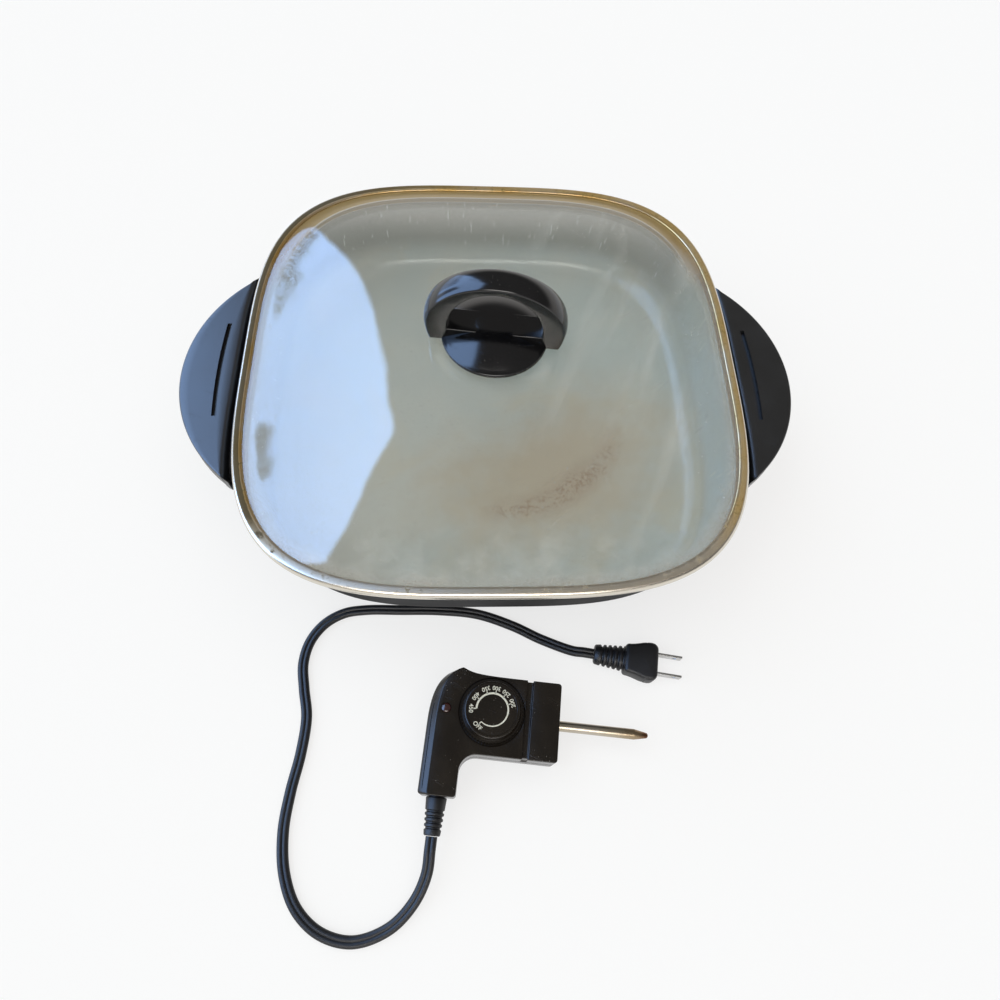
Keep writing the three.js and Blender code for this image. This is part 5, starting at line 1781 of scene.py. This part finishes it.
@dataclass
class Control:
    """The moulded housing with its dial, probe, lamp and what it holds."""

    shelf: Shelf
    turn: float = math.radians(-7.0)
    ahead: float = 54.8 * MM  # the dial's axis, in front of the pan's lip
    aside: float = -2.5 * MM
    height: float = 28.0 * MM
    wall: float = 2.2 * MM
    probe_y: float = -2.2 * MM
    head_half: float = 23.4 * MM
    head_front: float = 42.0 * MM
    left: float = -38.7 * MM
    peak: Point = (-20.3 * MM, 25.0 * MM)
    leg_right: float = -16.2 * MM
    leg_end: float = -50.3 * MM
    bend: float = 10.0 * MM
    groove: Point = (20.7 * MM, 24.3 * MM)
    groove_depth: float = 1.6 * MM
    chamfer: float = 5.2 * MM
    lamp: Point = (-28.0 * MM, -0.6 * MM)
    cord_x: float = -27.45 * MM
    pin_half: float = 14.3 * MM
    probe_hole: float = 3.5 * MM
    pin_hole: float = 4.4 * MM
    cord_hole: float = 5.3 * MM
    shaft_hole: float = 3.35 * MM
    lens_hole: float = 3.1 * MM
    screw_well: Point = (3.0 * MM, 2.7 * MM)  # radius and depth
    screws: tuple[str, ...] = ("head_back", "head_front", "elbow")
    dial_radius: float = 19.0 * MM
    dial_face: float = 16.3 * MM
    dial_bore: float = 3.3 * MM
    dial_marks: ClassVar[dict[str, float]] = {"OFF": 225.2, "200": 15.8, "250": 46.6, "300": 76.5,
                                              "350": 106.1, "400": 140.4, "450": 175.1}  # degrees

    def __post_init__(self) -> None:
        """Work out the control's own frame."""
        low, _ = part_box("pan")
        self.axis = Vector((self.aside, low.y - self.ahead, 0.0))
        self.place = Matrix.Translation(self.axis) @ Matrix.Rotation(self.turn, 4, "Z")
        self.middle = self.height / 2

    def build(self) -> None:
        """Model every piece of the heat control."""
        self.housing()
        self.probe()
        self.pilot_lens()
        self.strain_relief()
        self.dial()
        self.insides()

    def plan(self, inset: float = 0.0, chamfer: float = 0.0) -> list[Point]:
        """Return the housing's outline, set in all round by a margin and on its left by a chamfer too.

        Args:
            inset: The margin all round.
            chamfer: The extra margin on the left.

        Returns:
            The outline's corners.
        """
        left, right = self.left + inset + chamfer, self.head_front - inset
        low, high = self.probe_y - self.head_half + inset, self.probe_y + self.head_half - inset
        leg, end, corner = self.leg_right - inset, self.leg_end + inset, 2.0 * MM
        peak = (self.peak[0], self.peak[1] - inset * 1.2)
        span = peak[0] - left
        curve = bezier(peak, (left + span * 0.42, high + inset * 0.2 + 0.6 * MM), (left, 16 * MM - inset),
                       (left, -9 * MM), 16)
        fall = bezier((right - 24 * MM, high), (peak[0] + 12 * MM, high), (peak[0] + 7 * MM, high + 0.6 * MM),
                      (peak[0] + 1.2 * MM, peak[1] - 0.5 * MM), 8)
        return [
            *arc((leg - corner, end + corner), corner, -90, 0, 4),
            *arc((leg + self.bend + inset, low - self.bend - inset), self.bend + inset, 180, 90, 8),
            *arc((right - corner, low + corner), corner, -90, 0, 4),
            *arc((right - corner, high - corner), corner, 0, 90, 4),
            *fall, *curve,
            *arc((left + corner, end + corner), corner, 180, 270, 4),
        ]

    def _holes(self) -> list[Object]:
        """Return cutters for the probe, the heater pins and the cord.

        Returns:
            The cutters.
        """
        level, inward, outward = self.middle, 3 * self.wall, self.wall
        rows = ((self.probe_y, self.probe_hole), (self.probe_y - self.pin_half, self.pin_hole),
                (self.probe_y + self.pin_half, self.pin_hole))
        holes = [bar(radius, (self.head_front - inward, y, level), (self.head_front + outward, y, level))
                 for y, radius in rows]
        ends = [(self.cord_x, y, level) for y in (self.leg_end - outward, self.leg_end + inward)]
        return [*holes, bar(self.cord_hole, *ends)]

    def housing(self) -> None:
        """Model both halves of the housing."""
        gap = FIT / 2
        above, round_dial, seat_depth = 2 * self.height, 1.2 * MM, 1.0 * MM
        eaves = self.height - self.chamfer * 0.85
        levels = ((self.middle + gap, 0.0), (eaves, 0.0), (self.height, self.chamfer))
        rings = [[Vector((x, y, z)) for x, y in self.plan(0.0, side)] for z, side in levels]
        top = lofted("case_top", rings)
        core = self.head_half - self.groove_depth / 2
        groove = cut(block(self.groove, (-3 * self.head_half, 3 * self.head_half), (0, above)),
                     block((self.groove[0] - self.wall, self.groove[1] + self.wall),
                           (self.probe_y - core, self.probe_y + core),
                           (-self.wall, self.height - self.groove_depth)))
        seat = bar(self.dial_radius + round_dial, (0, 0, self.height - seat_depth), (0, 0, above), 96)
        shaft = bar(self.shaft_hole, (0, 0, 0), (0, 0, above))
        lens = bar(self.lens_hole, (*self.lamp, 0), (*self.lamp, above))
        cut(top, groove, seat)
        bevelled(top, 0.7 * MM, 3, 28.0)
        room = raised("room", self.plan(self.wall), 0.0, self.height - self.wall)
        cut(top, room, shaft, lens, *self._holes())
        placed(smoothed(top, 30.0), self.place)
        self.shelf.keep(top, Body.CONTROL, Slot.GLOSS, [Finish.CASE], ["housing_top"])

        bottom = raised("case_bottom", self.plan(), 0.0, self.middle - gap)
        bevelled(bottom, 1.0 * MM, 3, 50.0)
        room = raised("room", self.plan(self.wall), self.wall, above)
        radius, depth = self.screw_well
        wells = [bar(radius, (x, y, -self.wall), (x, y, depth), 32) for x, y in self._screw_places()]
        cut(bottom, room, *self._holes(), *wells)
        placed(smoothed(bottom, 30.0), self.place)
        self.shelf.keep(bottom, Body.CONTROL, Slot.GLOSS, [Finish.CASE], ["housing_bottom"])

    def _screw_places(self) -> list[Point]:
        """Return the housing screws' places in the control's frame.

        Returns:
            The screws' middles.
        """
        back = self.place.inverted()
        places = []
        for label in self.screws:
            low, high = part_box(f"housing_screw_{label}")
            local = back @ ((low + high) / 2)
            places.append((local.x, local.y))
        return places

    def probe(self) -> None:
        """Model the probe: a drawn tube closed to a cone."""
        radius, bore, outside, tail, cone = 3.2 * MM, 2.3 * MM, 57.5 * MM, 9 * MM, 8.5 * MM
        length = outside + tail
        nose = 1.8 * MM
        profile = [(0.0, length - cone), (bore, length - cone - bore), (bore, 0.0), (radius, 0.0),
                   (radius, length - cone - 0.6 * MM), (radius - 0.08 * MM, length - cone),
                   *arc((0.0, length - nose), nose, 25, 90, 5)]
        tube = spun("probe_sheath", profile, 48)
        along = Matrix.Translation((self.head_front - tail, self.probe_y, self.middle))
        placed(smoothed(tube), self.place @ along @ Matrix.Rotation(QUARTER, 4, "Y"))
        self.shelf.keep(tube, Body.CONTROL, Slot.TINT, [Finish.TINT], ["probe_tube"])

    def pilot_lens(self) -> None:
        """Model the lamp's lens, a low dome in its hole."""
        radius, crown = 2.8 * MM, 0.9 * MM
        rim, seat = self.height - 0.1 * MM, self.height - self.wall
        dome = arc((0.0, rim), radius, 0, 90, 8, crown)[:-1]
        lens = spun("lamp_dome", [(0.0, seat), (radius, seat), *dome, (0.0, rim + crown)], 40)
        placed(smoothed(lens), self.place @ Matrix.Translation((*self.lamp, 0.0)))
        self.shelf.keep(lens, Body.CONTROL, Slot.LENS, [Finish.LENS], ["pilot_lens"])

    def strain_relief(self) -> None:
        """Model the ribbed, tapered strain relief with its neck and flange in the housing."""
        wall = self.wall + 2 * FIT
        root, tip, neck, length = 6.3 * MM, 4.9 * MM, 4.9 * MM, 21 * MM
        flange, thick, edge, blunt = 6.6 * MM, 1.6 * MM, 0.8 * MM, 0.5 * MM
        profile = [(0, -wall - thick), (flange, -wall - thick), (flange, -wall), (neck, -wall), (neck, 0),
                   *arc((root - edge, edge), edge, -90, 0, 3)]
        profile += ribs(lambda z: root + (tip - root) * z / length, 7 * MM, length - 2 * MM, 4, 0.8 * MM)
        profile += [(tip, length - blunt), (tip - blunt, length), (0, length)]
        relief = spun("cord_guard", profile, 40)
        down = Matrix.Rotation(QUARTER, 4, "X")
        mouth = Matrix.Translation((self.cord_x, self.leg_end - FIT, self.middle))
        placed(smoothed(relief), self.place @ mouth @ down)
        self.shelf.keep(relief, Body.CONTROL, Slot.RUBBER, [Finish.RUBBER], ["strain_relief"])

    def dial(self) -> None:
        """Model the knurled dial and its printed marks."""
        low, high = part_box("dial")
        bottom, top = low.z, high.z
        skirt, grips, deep = 3.2 * MM, 60, 0.55 * MM
        steps = grips * 6
        rim = []
        for i in range(steps):
            angle = 360.0 * i / steps
            wave = 0.5 - 0.5 * math.cos(math.radians(angle * grips))
            rim.append(polar(self.dial_radius - deep * wave, angle))
        ring = raised("knob", rim, bottom, bottom + skirt)
        face, brow, edge = self.dial_face, 0.5 * MM, 0.7 * MM
        neck = self.dial_radius - deep - 0.5 * MM
        flank = [(0.0, bottom + 0.5 * MM), (neck - 1 * MM, bottom + 0.5 * MM), (neck, bottom + skirt),
                 (neck - 0.35 * MM, bottom + skirt + 0.5 * MM), (face + 0.55 * MM, top - 1.3 * MM)]
        border = [*arc((face - 0.2 * MM, top - edge), edge, 10, 90, 5), (face - 1.0 * MM, top)]
        dish = [(face - 1.35 * MM, top - brow), (0.0, top - brow)]
        united(ring, spun("crown", flank + border + dish, 128))
        cut(ring, bar(self.dial_bore, (0, 0, bottom - skirt), (0, 0, top - skirt)))
        placed(smoothed(ring, 32.0), Matrix.Translation(self.axis))
        ring.name = "turning_knob"
        self.shelf.keep(ring, Body.DIAL, Slot.GLOSS, [Finish.CASE], ["dial"])
        self._marks(top - brow)

    def _marks(self, level: float) -> None:
        """Print the dial's scale: a ring that thickens towards the hot end, ticks and plain numbers.

        Args:
            level: Height of the dial's face.
        """
        middle, far, steps, film = 0.59 * self.dial_face, 0.79 * self.dial_face, 96, 0.06 * MM
        thin, thicker, tick_length = 0.28 * MM, 0.27 * MM, 1.5 * MM
        marks = self.dial_marks
        start, end, thick = marks["OFF"] - 360.0, marks["450"], marks["250"]
        outer, inner = [], []
        for i in range(steps + 1):
            angle = start + (end - start) * i / steps
            half = thin + thicker * min(max((angle - start) / (thick - start), 0.0), 1.0)
            outer.append(polar(middle + half, angle))
            inner.append(polar(middle - half, angle))
        print_ring = raised("dial_print", outer + inner[::-1], level, level + film)
        tick, parts = block((middle, middle + tick_length), (-thin, thin), (level, level + film)), []
        for label, angle in marks.items():
            turn = math.radians(angle)
            parts.append(placed(copied(tick.data, "tick"), Matrix.Rotation(turn, 4, "Z")))
            put_down()
            bpy.ops.object.text_add()
            text = bpy.context.object
            text.data.body = label
            text.data.size = 3.5 * MM
            text.data.align_x, text.data.align_y = "CENTER", "CENTER"
            text.data.extrude = film / 2
            text.data.offset = 0.04 * MM
            bpy.ops.object.convert(target="MESH")
            out = Matrix.Translation((*polar(far, angle), level + film / 2))
            parts.append(placed(bpy.context.object, out @ Matrix.Rotation(turn + QUARTER, 4, "Z")))
        bpy.data.objects.remove(tick)
        pick_up(print_ring, *parts)
        bpy.ops.object.join()
        placed(sealed(print_ring), Matrix.Translation(self.axis))
        self.shelf.keep(print_ring, Body.DIAL, Slot.GLOSS, [Finish.PRINT], [])

    def insides(self) -> None:
        """Finish the pieces inside the housing and its screws."""
        screw = Screw(2.7 * MM, 1.3 * MM, 1.7 * MM)
        for label in self.screws:
            screw.seated(self.shelf, f"housing_screw_{label}", f"case_screw_{label}", Body.CONTROL, Drive.UP)
        for label in ("front", "back"):
            contact = refined(f"socket_contact_{label}", f"pin_contact_{label}", 0.3 * MM)
            self.shelf.keep(contact, Body.CONTROL, Slot.BRASS, [Finish.BRASS], [f"socket_contact_{label}"])
        plain = {
            Finish.STEEL: ("probe_rod", "probe_collar", "contact_post", "bimetal_blade", "dial_shaft",
                           "dial_clip"),
            Finish.BRASS: ("contact_leaf",),
            Finish.CERAMIC: ("thermostat_base", "pilot_resistor"),
            Finish.LENS: ("pilot_lamp",),
            Finish.SATIN: ("cord_clamp",),
            Finish.RUBBER: ("live_lead", "neutral_lead"),
        }
        for finish, nodes in plain.items():
            for node in nodes:
                self.shelf.finish_node(node, finish)


def ribs(radius_at: Callable[[float], float], start: float, end: float, count: int,
         deep: float) -> list[Point]:
    """Return a profile of rounded ribs along a taper.

    Args:
        radius_at: The taper's radius at a height.
        start: Where the first rib starts.
        end: Where the last groove ends.
        count: How many ribs there are.
        deep: Depth of the grooves between them.

    Returns:
        Points of radius and height.
    """
    pitch, points = (end - start) / count, []
    wave = ((0.0, 0.0), (0.1, 0.7), (0.2, 1.0), (0.36, 1.0), (0.46, 0.7), (0.56, 0.0), (0.75, -0.15))
    for i in range(count):
        z = start + i * pitch
        for share, drop in wave:
            points.append((radius_at(z + share * pitch) - drop * deep, z + share * pitch))
    return points


# Cord and plug


@dataclass
class Cord:
    """The flat two-core cord on its route over the table, and its plug."""

    shelf: Shelf
    control: Control
    width: float = 6.9 * MM
    thickness: float = 4.2 * MM
    waist: float = 0.62  # share of the thickness left between the two cores
    relief: float = 21.0 * MM
    plug_x: float = 98.0 * MM
    plug_ahead: float = 21.0 * MM
    plug_turn: float = math.radians(-10.0)
    plug_length: float = 22.0 * MM
    plug_width: float = 25.0 * MM
    plug_height: float = 14.0 * MM
    boot: float = 21.0 * MM
    embed: float = 1.0 * MM
    steps: int = 420
    # Listed points: X, distance in front of the pan's lip and height, in millimetres
    route: tuple[Triple, ...] = (
        (-41.2, 142.5, 10.5), (-48.5, 157, 5.4), (-62, 169.5, 3), (-82, 175.5, 2.8), (-101, 170.8, 2.8),
        (-115.5, 158.5, 2.8), (-124, 140.5, 2.8), (-127, 118.5, 2.8), (-125, 96.5, 2.8), (-121, 74.5, 2.8),
        (-119.5, 52.5, 2.8), (-122.8, 34.5, 2.8), (-124.8, 18.5, 2.8), (-121.6, 4, 2.8), (-113, -7.8, 2.8),
        (-100.6, -15, 2.8), (-86, -17.2, 2.8), (-62, -17, 2.8), (-36, -16.5, 2.8), (-10, -13.5, 2.8),
        (14, -5, 2.8), (33, 4.5, 3.2),
    )

    def __post_init__(self) -> None:
        """Work out the plug's frame and the points that the cord follows."""
        low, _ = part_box("pan")
        self.lip_front = low.y
        self.place = Matrix.Translation((self.plug_x, low.y - self.plug_ahead, 0.0)) @ \
            Matrix.Rotation(self.plug_turn, 4, "Z")
        self.path = self.smooth(self.corners())

    def corners(self) -> list[Vector]:
        """Return the route's points, from the strain relief's mouth to the plug's boot.

        Returns:
            The points.
        """
        mouth = self.control.leg_end - self.relief - 2 * FIT
        local = [(self.control.cord_x, mouth, self.control.middle),
                 (self.control.cord_x, mouth - self.width, self.control.middle)]
        start = [self.control.place @ Vector(point) for point in local]
        on_table = [Vector((x * MM, self.lip_front - ahead * MM, z * MM)) for x, ahead, z in self.route]
        boot_end = -self.plug_length / 2 + self.embed - self.boot - FIT
        middle = self.plug_height / 2
        local = [(boot_end - 2 * self.width, 0.0, middle - self.embed), (boot_end - self.width, 0.0, middle),
                 (boot_end, 0.0, middle)]
        return [*start, *on_table, *(self.place @ Vector(point) for point in local)]

    def smooth(self, corners: Sequence[Vector]) -> list[Vector]:
        """Return the points of one smooth curve through the corners, each span by its own length.

        Args:
            corners: What it goes through.

        Returns:
            The curve's points.
        """
        spans, found = len(corners) - 1, []
        for k in range(self.steps + 1):
            at = min(spans * k / self.steps, spans - 1e-9)
            i, share = int(at), at - int(at)
            b, c = corners[i], corners[i + 1]
            a = corners[i - 1] if i > 0 else 2 * b - c
            d = corners[i + 2] if i + 2 <= spans else 2 * c - b
            before, span, after = ((q - p).length ** 0.5 for p, q in ((a, b), (b, c), (c, d)))
            lead = ((b - a) / before - (c - a) / (before + span) + (c - b) / span) * span
            trail = ((c - b) / span - (d - b) / (span + after) + (d - c) / after) * span
            cubic, square = 2 * b - 2 * c + lead + trail, 3 * c - 3 * b - 2 * lead - trail
            found.append(b + lead * share + square * share ** 2 + cubic * share ** 3)
        return found

    def section(self) -> list[Point]:
        """Return the flat cord's section: two round cores side by side and the web between them.

        Returns:
            The section's corners.
        """
        radius = self.thickness / 2
        core = self.width / 2 - radius
        web = self.waist * radius
        reach = math.degrees(math.asin(web / radius))
        right = arc((core, 0.0), radius, -180 + reach, 180 - reach, 14)
        return right + [(-x, -y) for x, y in right]

    def build(self) -> None:
        """Model the cord and the plug, and log the cord's length."""
        cord = smoothed(swept("flat_cord", self.path, self.section()), 50.0)
        self.shelf.keep(cord, Body.CONTROL, Slot.RUBBER, [Finish.RUBBER], ["cord"])
        on_it = [self.plug(), *(self.blade(label) for label in ("front", "back"))]
        length = sum((q - p).length for p, q in zip(self.path, self.path[1:]))
        LOG.info("cord is %.3f m long", length)

    def plug(self) -> Object:
        """Model the moulded plug: waisted grip, finger ribs and ribbed boot.

        Returns:
            The plug.
        """
        half, face, high = self.plug_width / 2, self.plug_length / 2, self.plug_height
        corner, waist = 4.4 * MM, 3.0 * MM
        outline = [(-face, -half + waist), *bezier((-face, -half + waist), (-face / 3, -half + waist),
                                                   (0, -half), (face / 2, -half), 6)[1:],
                   *arc((face - corner, -half + corner), corner, -90, 0, 4),
                   *arc((face - corner, half - corner), corner, 0, 90, 4),
                   *bezier((face / 2, half), (0, half), (-face / 3, half - waist), (-face, half - waist), 6)]
        body = raised("plug_grip", outline, 0.0, high)
        bevelled(body, 2.2 * MM, 4, 50.0)
        bottom, top, pitch = half + 0.2 * MM, half - 0.4 * MM, 3.0 * MM
        for side in (-1, 1):
            for i in range(4):
                x = -face * 0.55 + i * pitch
                cut(body, bar(0.7 * MM, (x, side * bottom, -high), (x, side * top, 2 * high), 16))
        root, tip, blunt, length = 6.6 * MM, 5.0 * MM, 0.6 * MM, self.boot
        profile = [(0, 0), (root, 0), (root, 0.8 * MM)]
        profile += ribs(lambda z: root + (tip - root) * z / length, 1.2 * MM, length - 2.6 * MM, 5, 0.9 * MM)
        profile += [(tip, length - blunt), (tip - blunt, length), (0, length)]
        boot = spun("boot", profile, 40)
        placed(boot, Matrix.Scale(1.3, 4, (0, 1, 0)))
        placed(boot, Matrix.Translation((self.embed - face, 0, high / 2)) @ Matrix.Rotation(-QUARTER, 4, "Y"))
        united(body, boot)
        placed(smoothed(body, 40.0), self.place)
        return self.shelf.keep(body, Body.CONTROL, Slot.RUBBER, [Finish.RUBBER], ["plug_body"])

    def blade(self, label: str) -> Object:
        """Model one plug blade with rounded edges."""
        blade = refined(f"plug_blade_{label}", f"contact_blade_{label}", 0.3 * MM, 3)
        return self.shelf.keep(blade, Body.CONTROL, Slot.STEEL, [Finish.STEEL], [f"plug_blade_{label}"])


# Stage, lamps and camera


@dataclass(frozen=True)
class Camera:
    """The photograph's viewpoint, from a fit to the lid's outline, the handles and the dial."""

    place: Triple = (-0.0210, -0.2212, 0.4646)
    yaw: float = 7.4
    pitch: float = 64.45
    roll: float = -6.7
    focal_pixels: float = 690.0
    image_pixels: float = 1000.0
    sensor: float = 36.0

    def build(self) -> None:
        """Set up the camera and make it the scene's."""
        yaw, pitch, roll = (math.radians(v) for v in (self.yaw, self.pitch, self.roll))
        ahead = Vector((math.sin(yaw) * math.cos(pitch), math.cos(yaw) * math.cos(pitch), -math.sin(pitch)))
        right = Vector((math.cos(yaw), -math.sin(yaw), 0.0))
        down = ahead.cross(right)
        across = right * math.cos(roll) + down * math.sin(roll)
        fall = down * math.cos(roll) - right * math.sin(roll)
        turn = Matrix((across, -fall, -ahead)).transposed().to_4x4()
        put_down()
        bpy.ops.object.camera_add()
        camera = bpy.context.object
        camera.name = "viewpoint"
        camera.matrix_world = Matrix.Translation(self.place) @ turn
        camera.data.sensor_width = self.sensor
        camera.data.lens = self.focal_pixels * self.sensor / self.image_pixels
        camera.data.clip_start = 0.01
        bpy.context.scene.camera = camera


@dataclass(frozen=True)
class Lamp:
    """One soft lamp: a square panel aimed at a point."""

    name: str
    place: Triple
    side: float
    power: float
    tone: Colour = (1.0, 1.0, 1.0)
    aim: Triple = (0.0, 0.0, 0.08)
    mirrored: bool = False  # whether gloss shows it

    def build(self) -> None:
        """Hang the lamp."""
        put_down()
        bpy.ops.object.light_add(type="AREA", location=self.place)
        lamp = bpy.context.object
        lamp.name = self.name
        lamp.data.shape = "SQUARE"
        lamp.data.size = self.side
        lamp.data.energy = self.power
        lamp.data.color = self.tone
        lamp.visible_glossy = self.mirrored
        away = Vector(self.place) - Vector(self.aim)
        lamp.matrix_world = Matrix.Translation(self.place) @ away.to_track_quat("Z", "Y").to_matrix().to_4x4()


@dataclass(frozen=True)
class Stage:
    """The pale floor and the room: a window of sky on the left, plain walls, a bright side in front."""

    floor_side: float = 30.0
    floor_tone: Colour = (0.92, 0.92, 0.92)
    glow: float = 0.72
    backdrop: float = 0.96
    daylight: Colour = (0.80, 0.92, 1.0)
    daylight_strength: float = 1.9
    sky: Colour = (0.37, 0.58, 1.0)  # the deep sky that gloss mirrors
    sky_strength: float = 6.0
    room: Colour = (1.0, 0.97, 0.93)
    room_strength: float = 0.46
    mirrored_share: float = 0.5  # how much of the room's light gloss shows
    front_strength: float = 0.45
    front_gleam: float = 8.0
    belt_gleam: float = 0.8  # the pale lower walls that gloss mirrors
    # Leafy patches outside, as shares of a direction: how far back, half width, height and thickness
    trees: tuple[tuple[float, float, float, float], ...] = (
        (0.75, 0.16, 0.39, 0.25), (0.375, 0.14, 0.60, 0.75))
    window_peak: Point = (-0.25, 0.33)  # where the window's slanting edges meet
    window_slant: float = 0.28
    window_end: float = -0.38

    def build(self) -> None:
        """Lay the floor and light the room."""
        self.floor()
        world = bpy.data.worlds.new("room")
        bpy.context.scene.world = world
        world.use_nodes = True
        self.air(Surface.of_world(world))

    def floor(self) -> None:
        """Lay the pale floor, which glows only as the camera, gloss and glass see it."""
        put_down()
        bpy.ops.mesh.primitive_plane_add(size=self.floor_side)
        floor = bpy.context.object
        floor.name = "floor"
        s = Surface("floor_paper")
        paper = s.shader(base_color=self.floor_tone, roughness=0.8)
        light = s.node("ShaderNodeEmission", {}, {"Color": (1.0, 1.0, 1.0, 1.0), "Strength": 1.0})
        seen = s.node(LIGHT_PATH, out="Is Camera Ray") + s.node(LIGHT_PATH, out="Is Glossy Ray") + \
            s.node(LIGHT_PATH, out="Is Transmission Ray")
        floor.data.materials.append(s.close(s.blend(seen.under(1.0) * self.glow, paper, light)))

    def air(self, sky: Surface) -> None:
        """Paint the room all round: daylight for the light, deep sky for what mirrors it.
        """
        direction = sky.node("ShaderNodeTexCoord", out="Generated")
        across, back, upward = sky.axes(direction)
        ragged = (sky.noise(5.0, 4.0, vector=direction) - 0.5) * 0.06
        border = self.window_peak[0] - abs(back - self.window_peak[1]) * self.window_slant
        window = (border - across + ragged).step(-0.015, 0.015) * upward.step(-0.02, 0.06) * \
            back.step(self.window_end - 0.06, self.window_end + 0.06)
        leaves = sky.noise(110.0, 4.0, 0.7, vector=direction).step(0.42, 0.58)
        wobble = sky.noise(9.0, 5.0, 0.65, vector=direction) - 0.5
        lit = window
        for depth, half, tall, thick in self.trees:
            away = back - depth
            crown = (1.0 - abs(away / half) ** 8.0) * tall - away * 0.7 + wobble * 0.1 - upward
            lit = lit * (1.0 - crown.step(-0.02, 0.03) * (thick + leaves * (0.95 - thick)))
        behind = upward.step(0.25, 0.9) * 0.4 + 0.6
        ahead = back.step(-0.5, -0.75) * self.front_strength

        def background(tone: Colour, strength: Value) -> Signal:
            """Return a background of a colour and strength."""
            return sky.node("ShaderNodeBackground", {}, {"Color": (*tone, 1.0), "Strength": strength})

        glossy = sky.node(LIGHT_PATH, out="Is Glossy Ray")
        lamp = back.step(-0.28, -0.4) * abs(across + 0.03).step(0.34, 0.14) * \
            upward.step(0.6, 0.74) * upward.step(0.93, 0.82)
        belt = upward.step(0.4, 0.15) * (1.0 - ahead)
        gleam = (lamp * self.front_gleam + belt * self.belt_gleam) * glossy
        plain = behind * self.room_strength * (1.0 - glossy * (1.0 - self.mirrored_share))
        walls = background(self.room, plain + ahead + gleam)
        daylight = background(self.daylight, self.daylight_strength)
        deep_sky = background(self.sky, self.sky_strength)
        around = sky.blend(lit, walls, sky.blend(glossy, daylight, deep_sky))
        white = background((1.0, 1.0, 1.0), self.backdrop)
        sky.close(sky.blend(sky.node(LIGHT_PATH, out="Is Camera Ray"), around, white))


def corners(bounds: tuple[Vector, Vector]) -> list[list[float]]:
    """Return a box's two corners as plain lists."""
    return [list(corner) for corner in bounds]


def main() -> None:
    """Build the skillet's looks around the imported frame."""
    logging.basicConfig(level=logging.INFO, format="%(name)s: %(message)s")
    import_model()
    bpy.context.scene.view_settings.view_transform = "Standard"

    Camera().build()
    Stage().build()
    Lamp("ceiling_panel", (0.3, -0.2, 3.0), 4.0, 34.0, (1.0, 0.94, 0.86)).build()

    low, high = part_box("pan")
    centre_y = (low.y + high.y) / 2
    lid_low, lid_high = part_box("lid_rim")
    lid_half, glass_inset = (lid_high.x - lid_low.x) / 2, 1.6 * MM
    probe_low, probe_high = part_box("probe_tube")
    probe_root = (probe_low.x + 3 * MM, (probe_low.y + probe_high.y) / 2)
    palette = Palette({
        Finish.COAT: CeramicCoat(centre_y, high.z - Base.depth),
        Finish.ENAMEL: StoveEnamel(),
        Finish.GLASS: TemperedGlass(centre_y, lid_half - glass_inset),
        Finish.BAND: StainedBand(centre_y, lid_half),
        Finish.SATIN: Moulding("satin_phenolic", paint(13, 14, 16), paint(21, 22, 25), 0.36, 700.0,
                               0.012 * MM, mirror=1.0),
        Finish.GLOSS: Moulding("gloss_phenolic", paint(11, 11, 13), paint(17, 17, 19), 0.15, 500.0,
                               0.003 * MM, dust=0.25, mirror=0.58),
        Finish.CASE: Moulding("case_phenolic", paint(22, 17, 12), paint(32, 26, 19), 0.22, 800.0,
                              0.006 * MM, dust=0.6, mirror=0.42),
        Finish.RUBBER: Moulding("cord_rubber", paint(13, 13, 16), paint(23, 23, 26), 0.48, 1400.0,
                                0.015 * MM),
        Finish.SILICONE: Moulding("silicone", paint(70, 70, 70), paint(84, 84, 82), 0.6, 1200.0, 0.02 * MM),
        Finish.STEEL: Metal("plated_steel", (0.60, 0.60, 0.60), (0.42, 0.40, 0.36), 0.28),
        Finish.BRASS: Metal("spring_brass", (0.70, 0.52, 0.24), (0.42, 0.30, 0.16), 0.3),
        Finish.SHEATH: Metal("oxidised_sheath", (0.22, 0.20, 0.18), (0.34, 0.27, 0.2), 0.5, spread=0.8),
        Finish.TINT: HeatTint(probe_root, math.degrees(Control.turn), probe_high.x - probe_low.x),
        Finish.CERAMIC: FiredCeramic(),
        Finish.LENS: LampLens(),
        Finish.PRINT: PrintedPaint(),
    })
    shelf = Shelf(palette)
    control = Control(shelf)
    Cord(shelf, control).build()
    Base(shelf).build()
    Lid(shelf).build()
    control.build()
    LOG.info("%d pieces modelled", len(shelf.made))


if __name__ == "__main__":
    main()
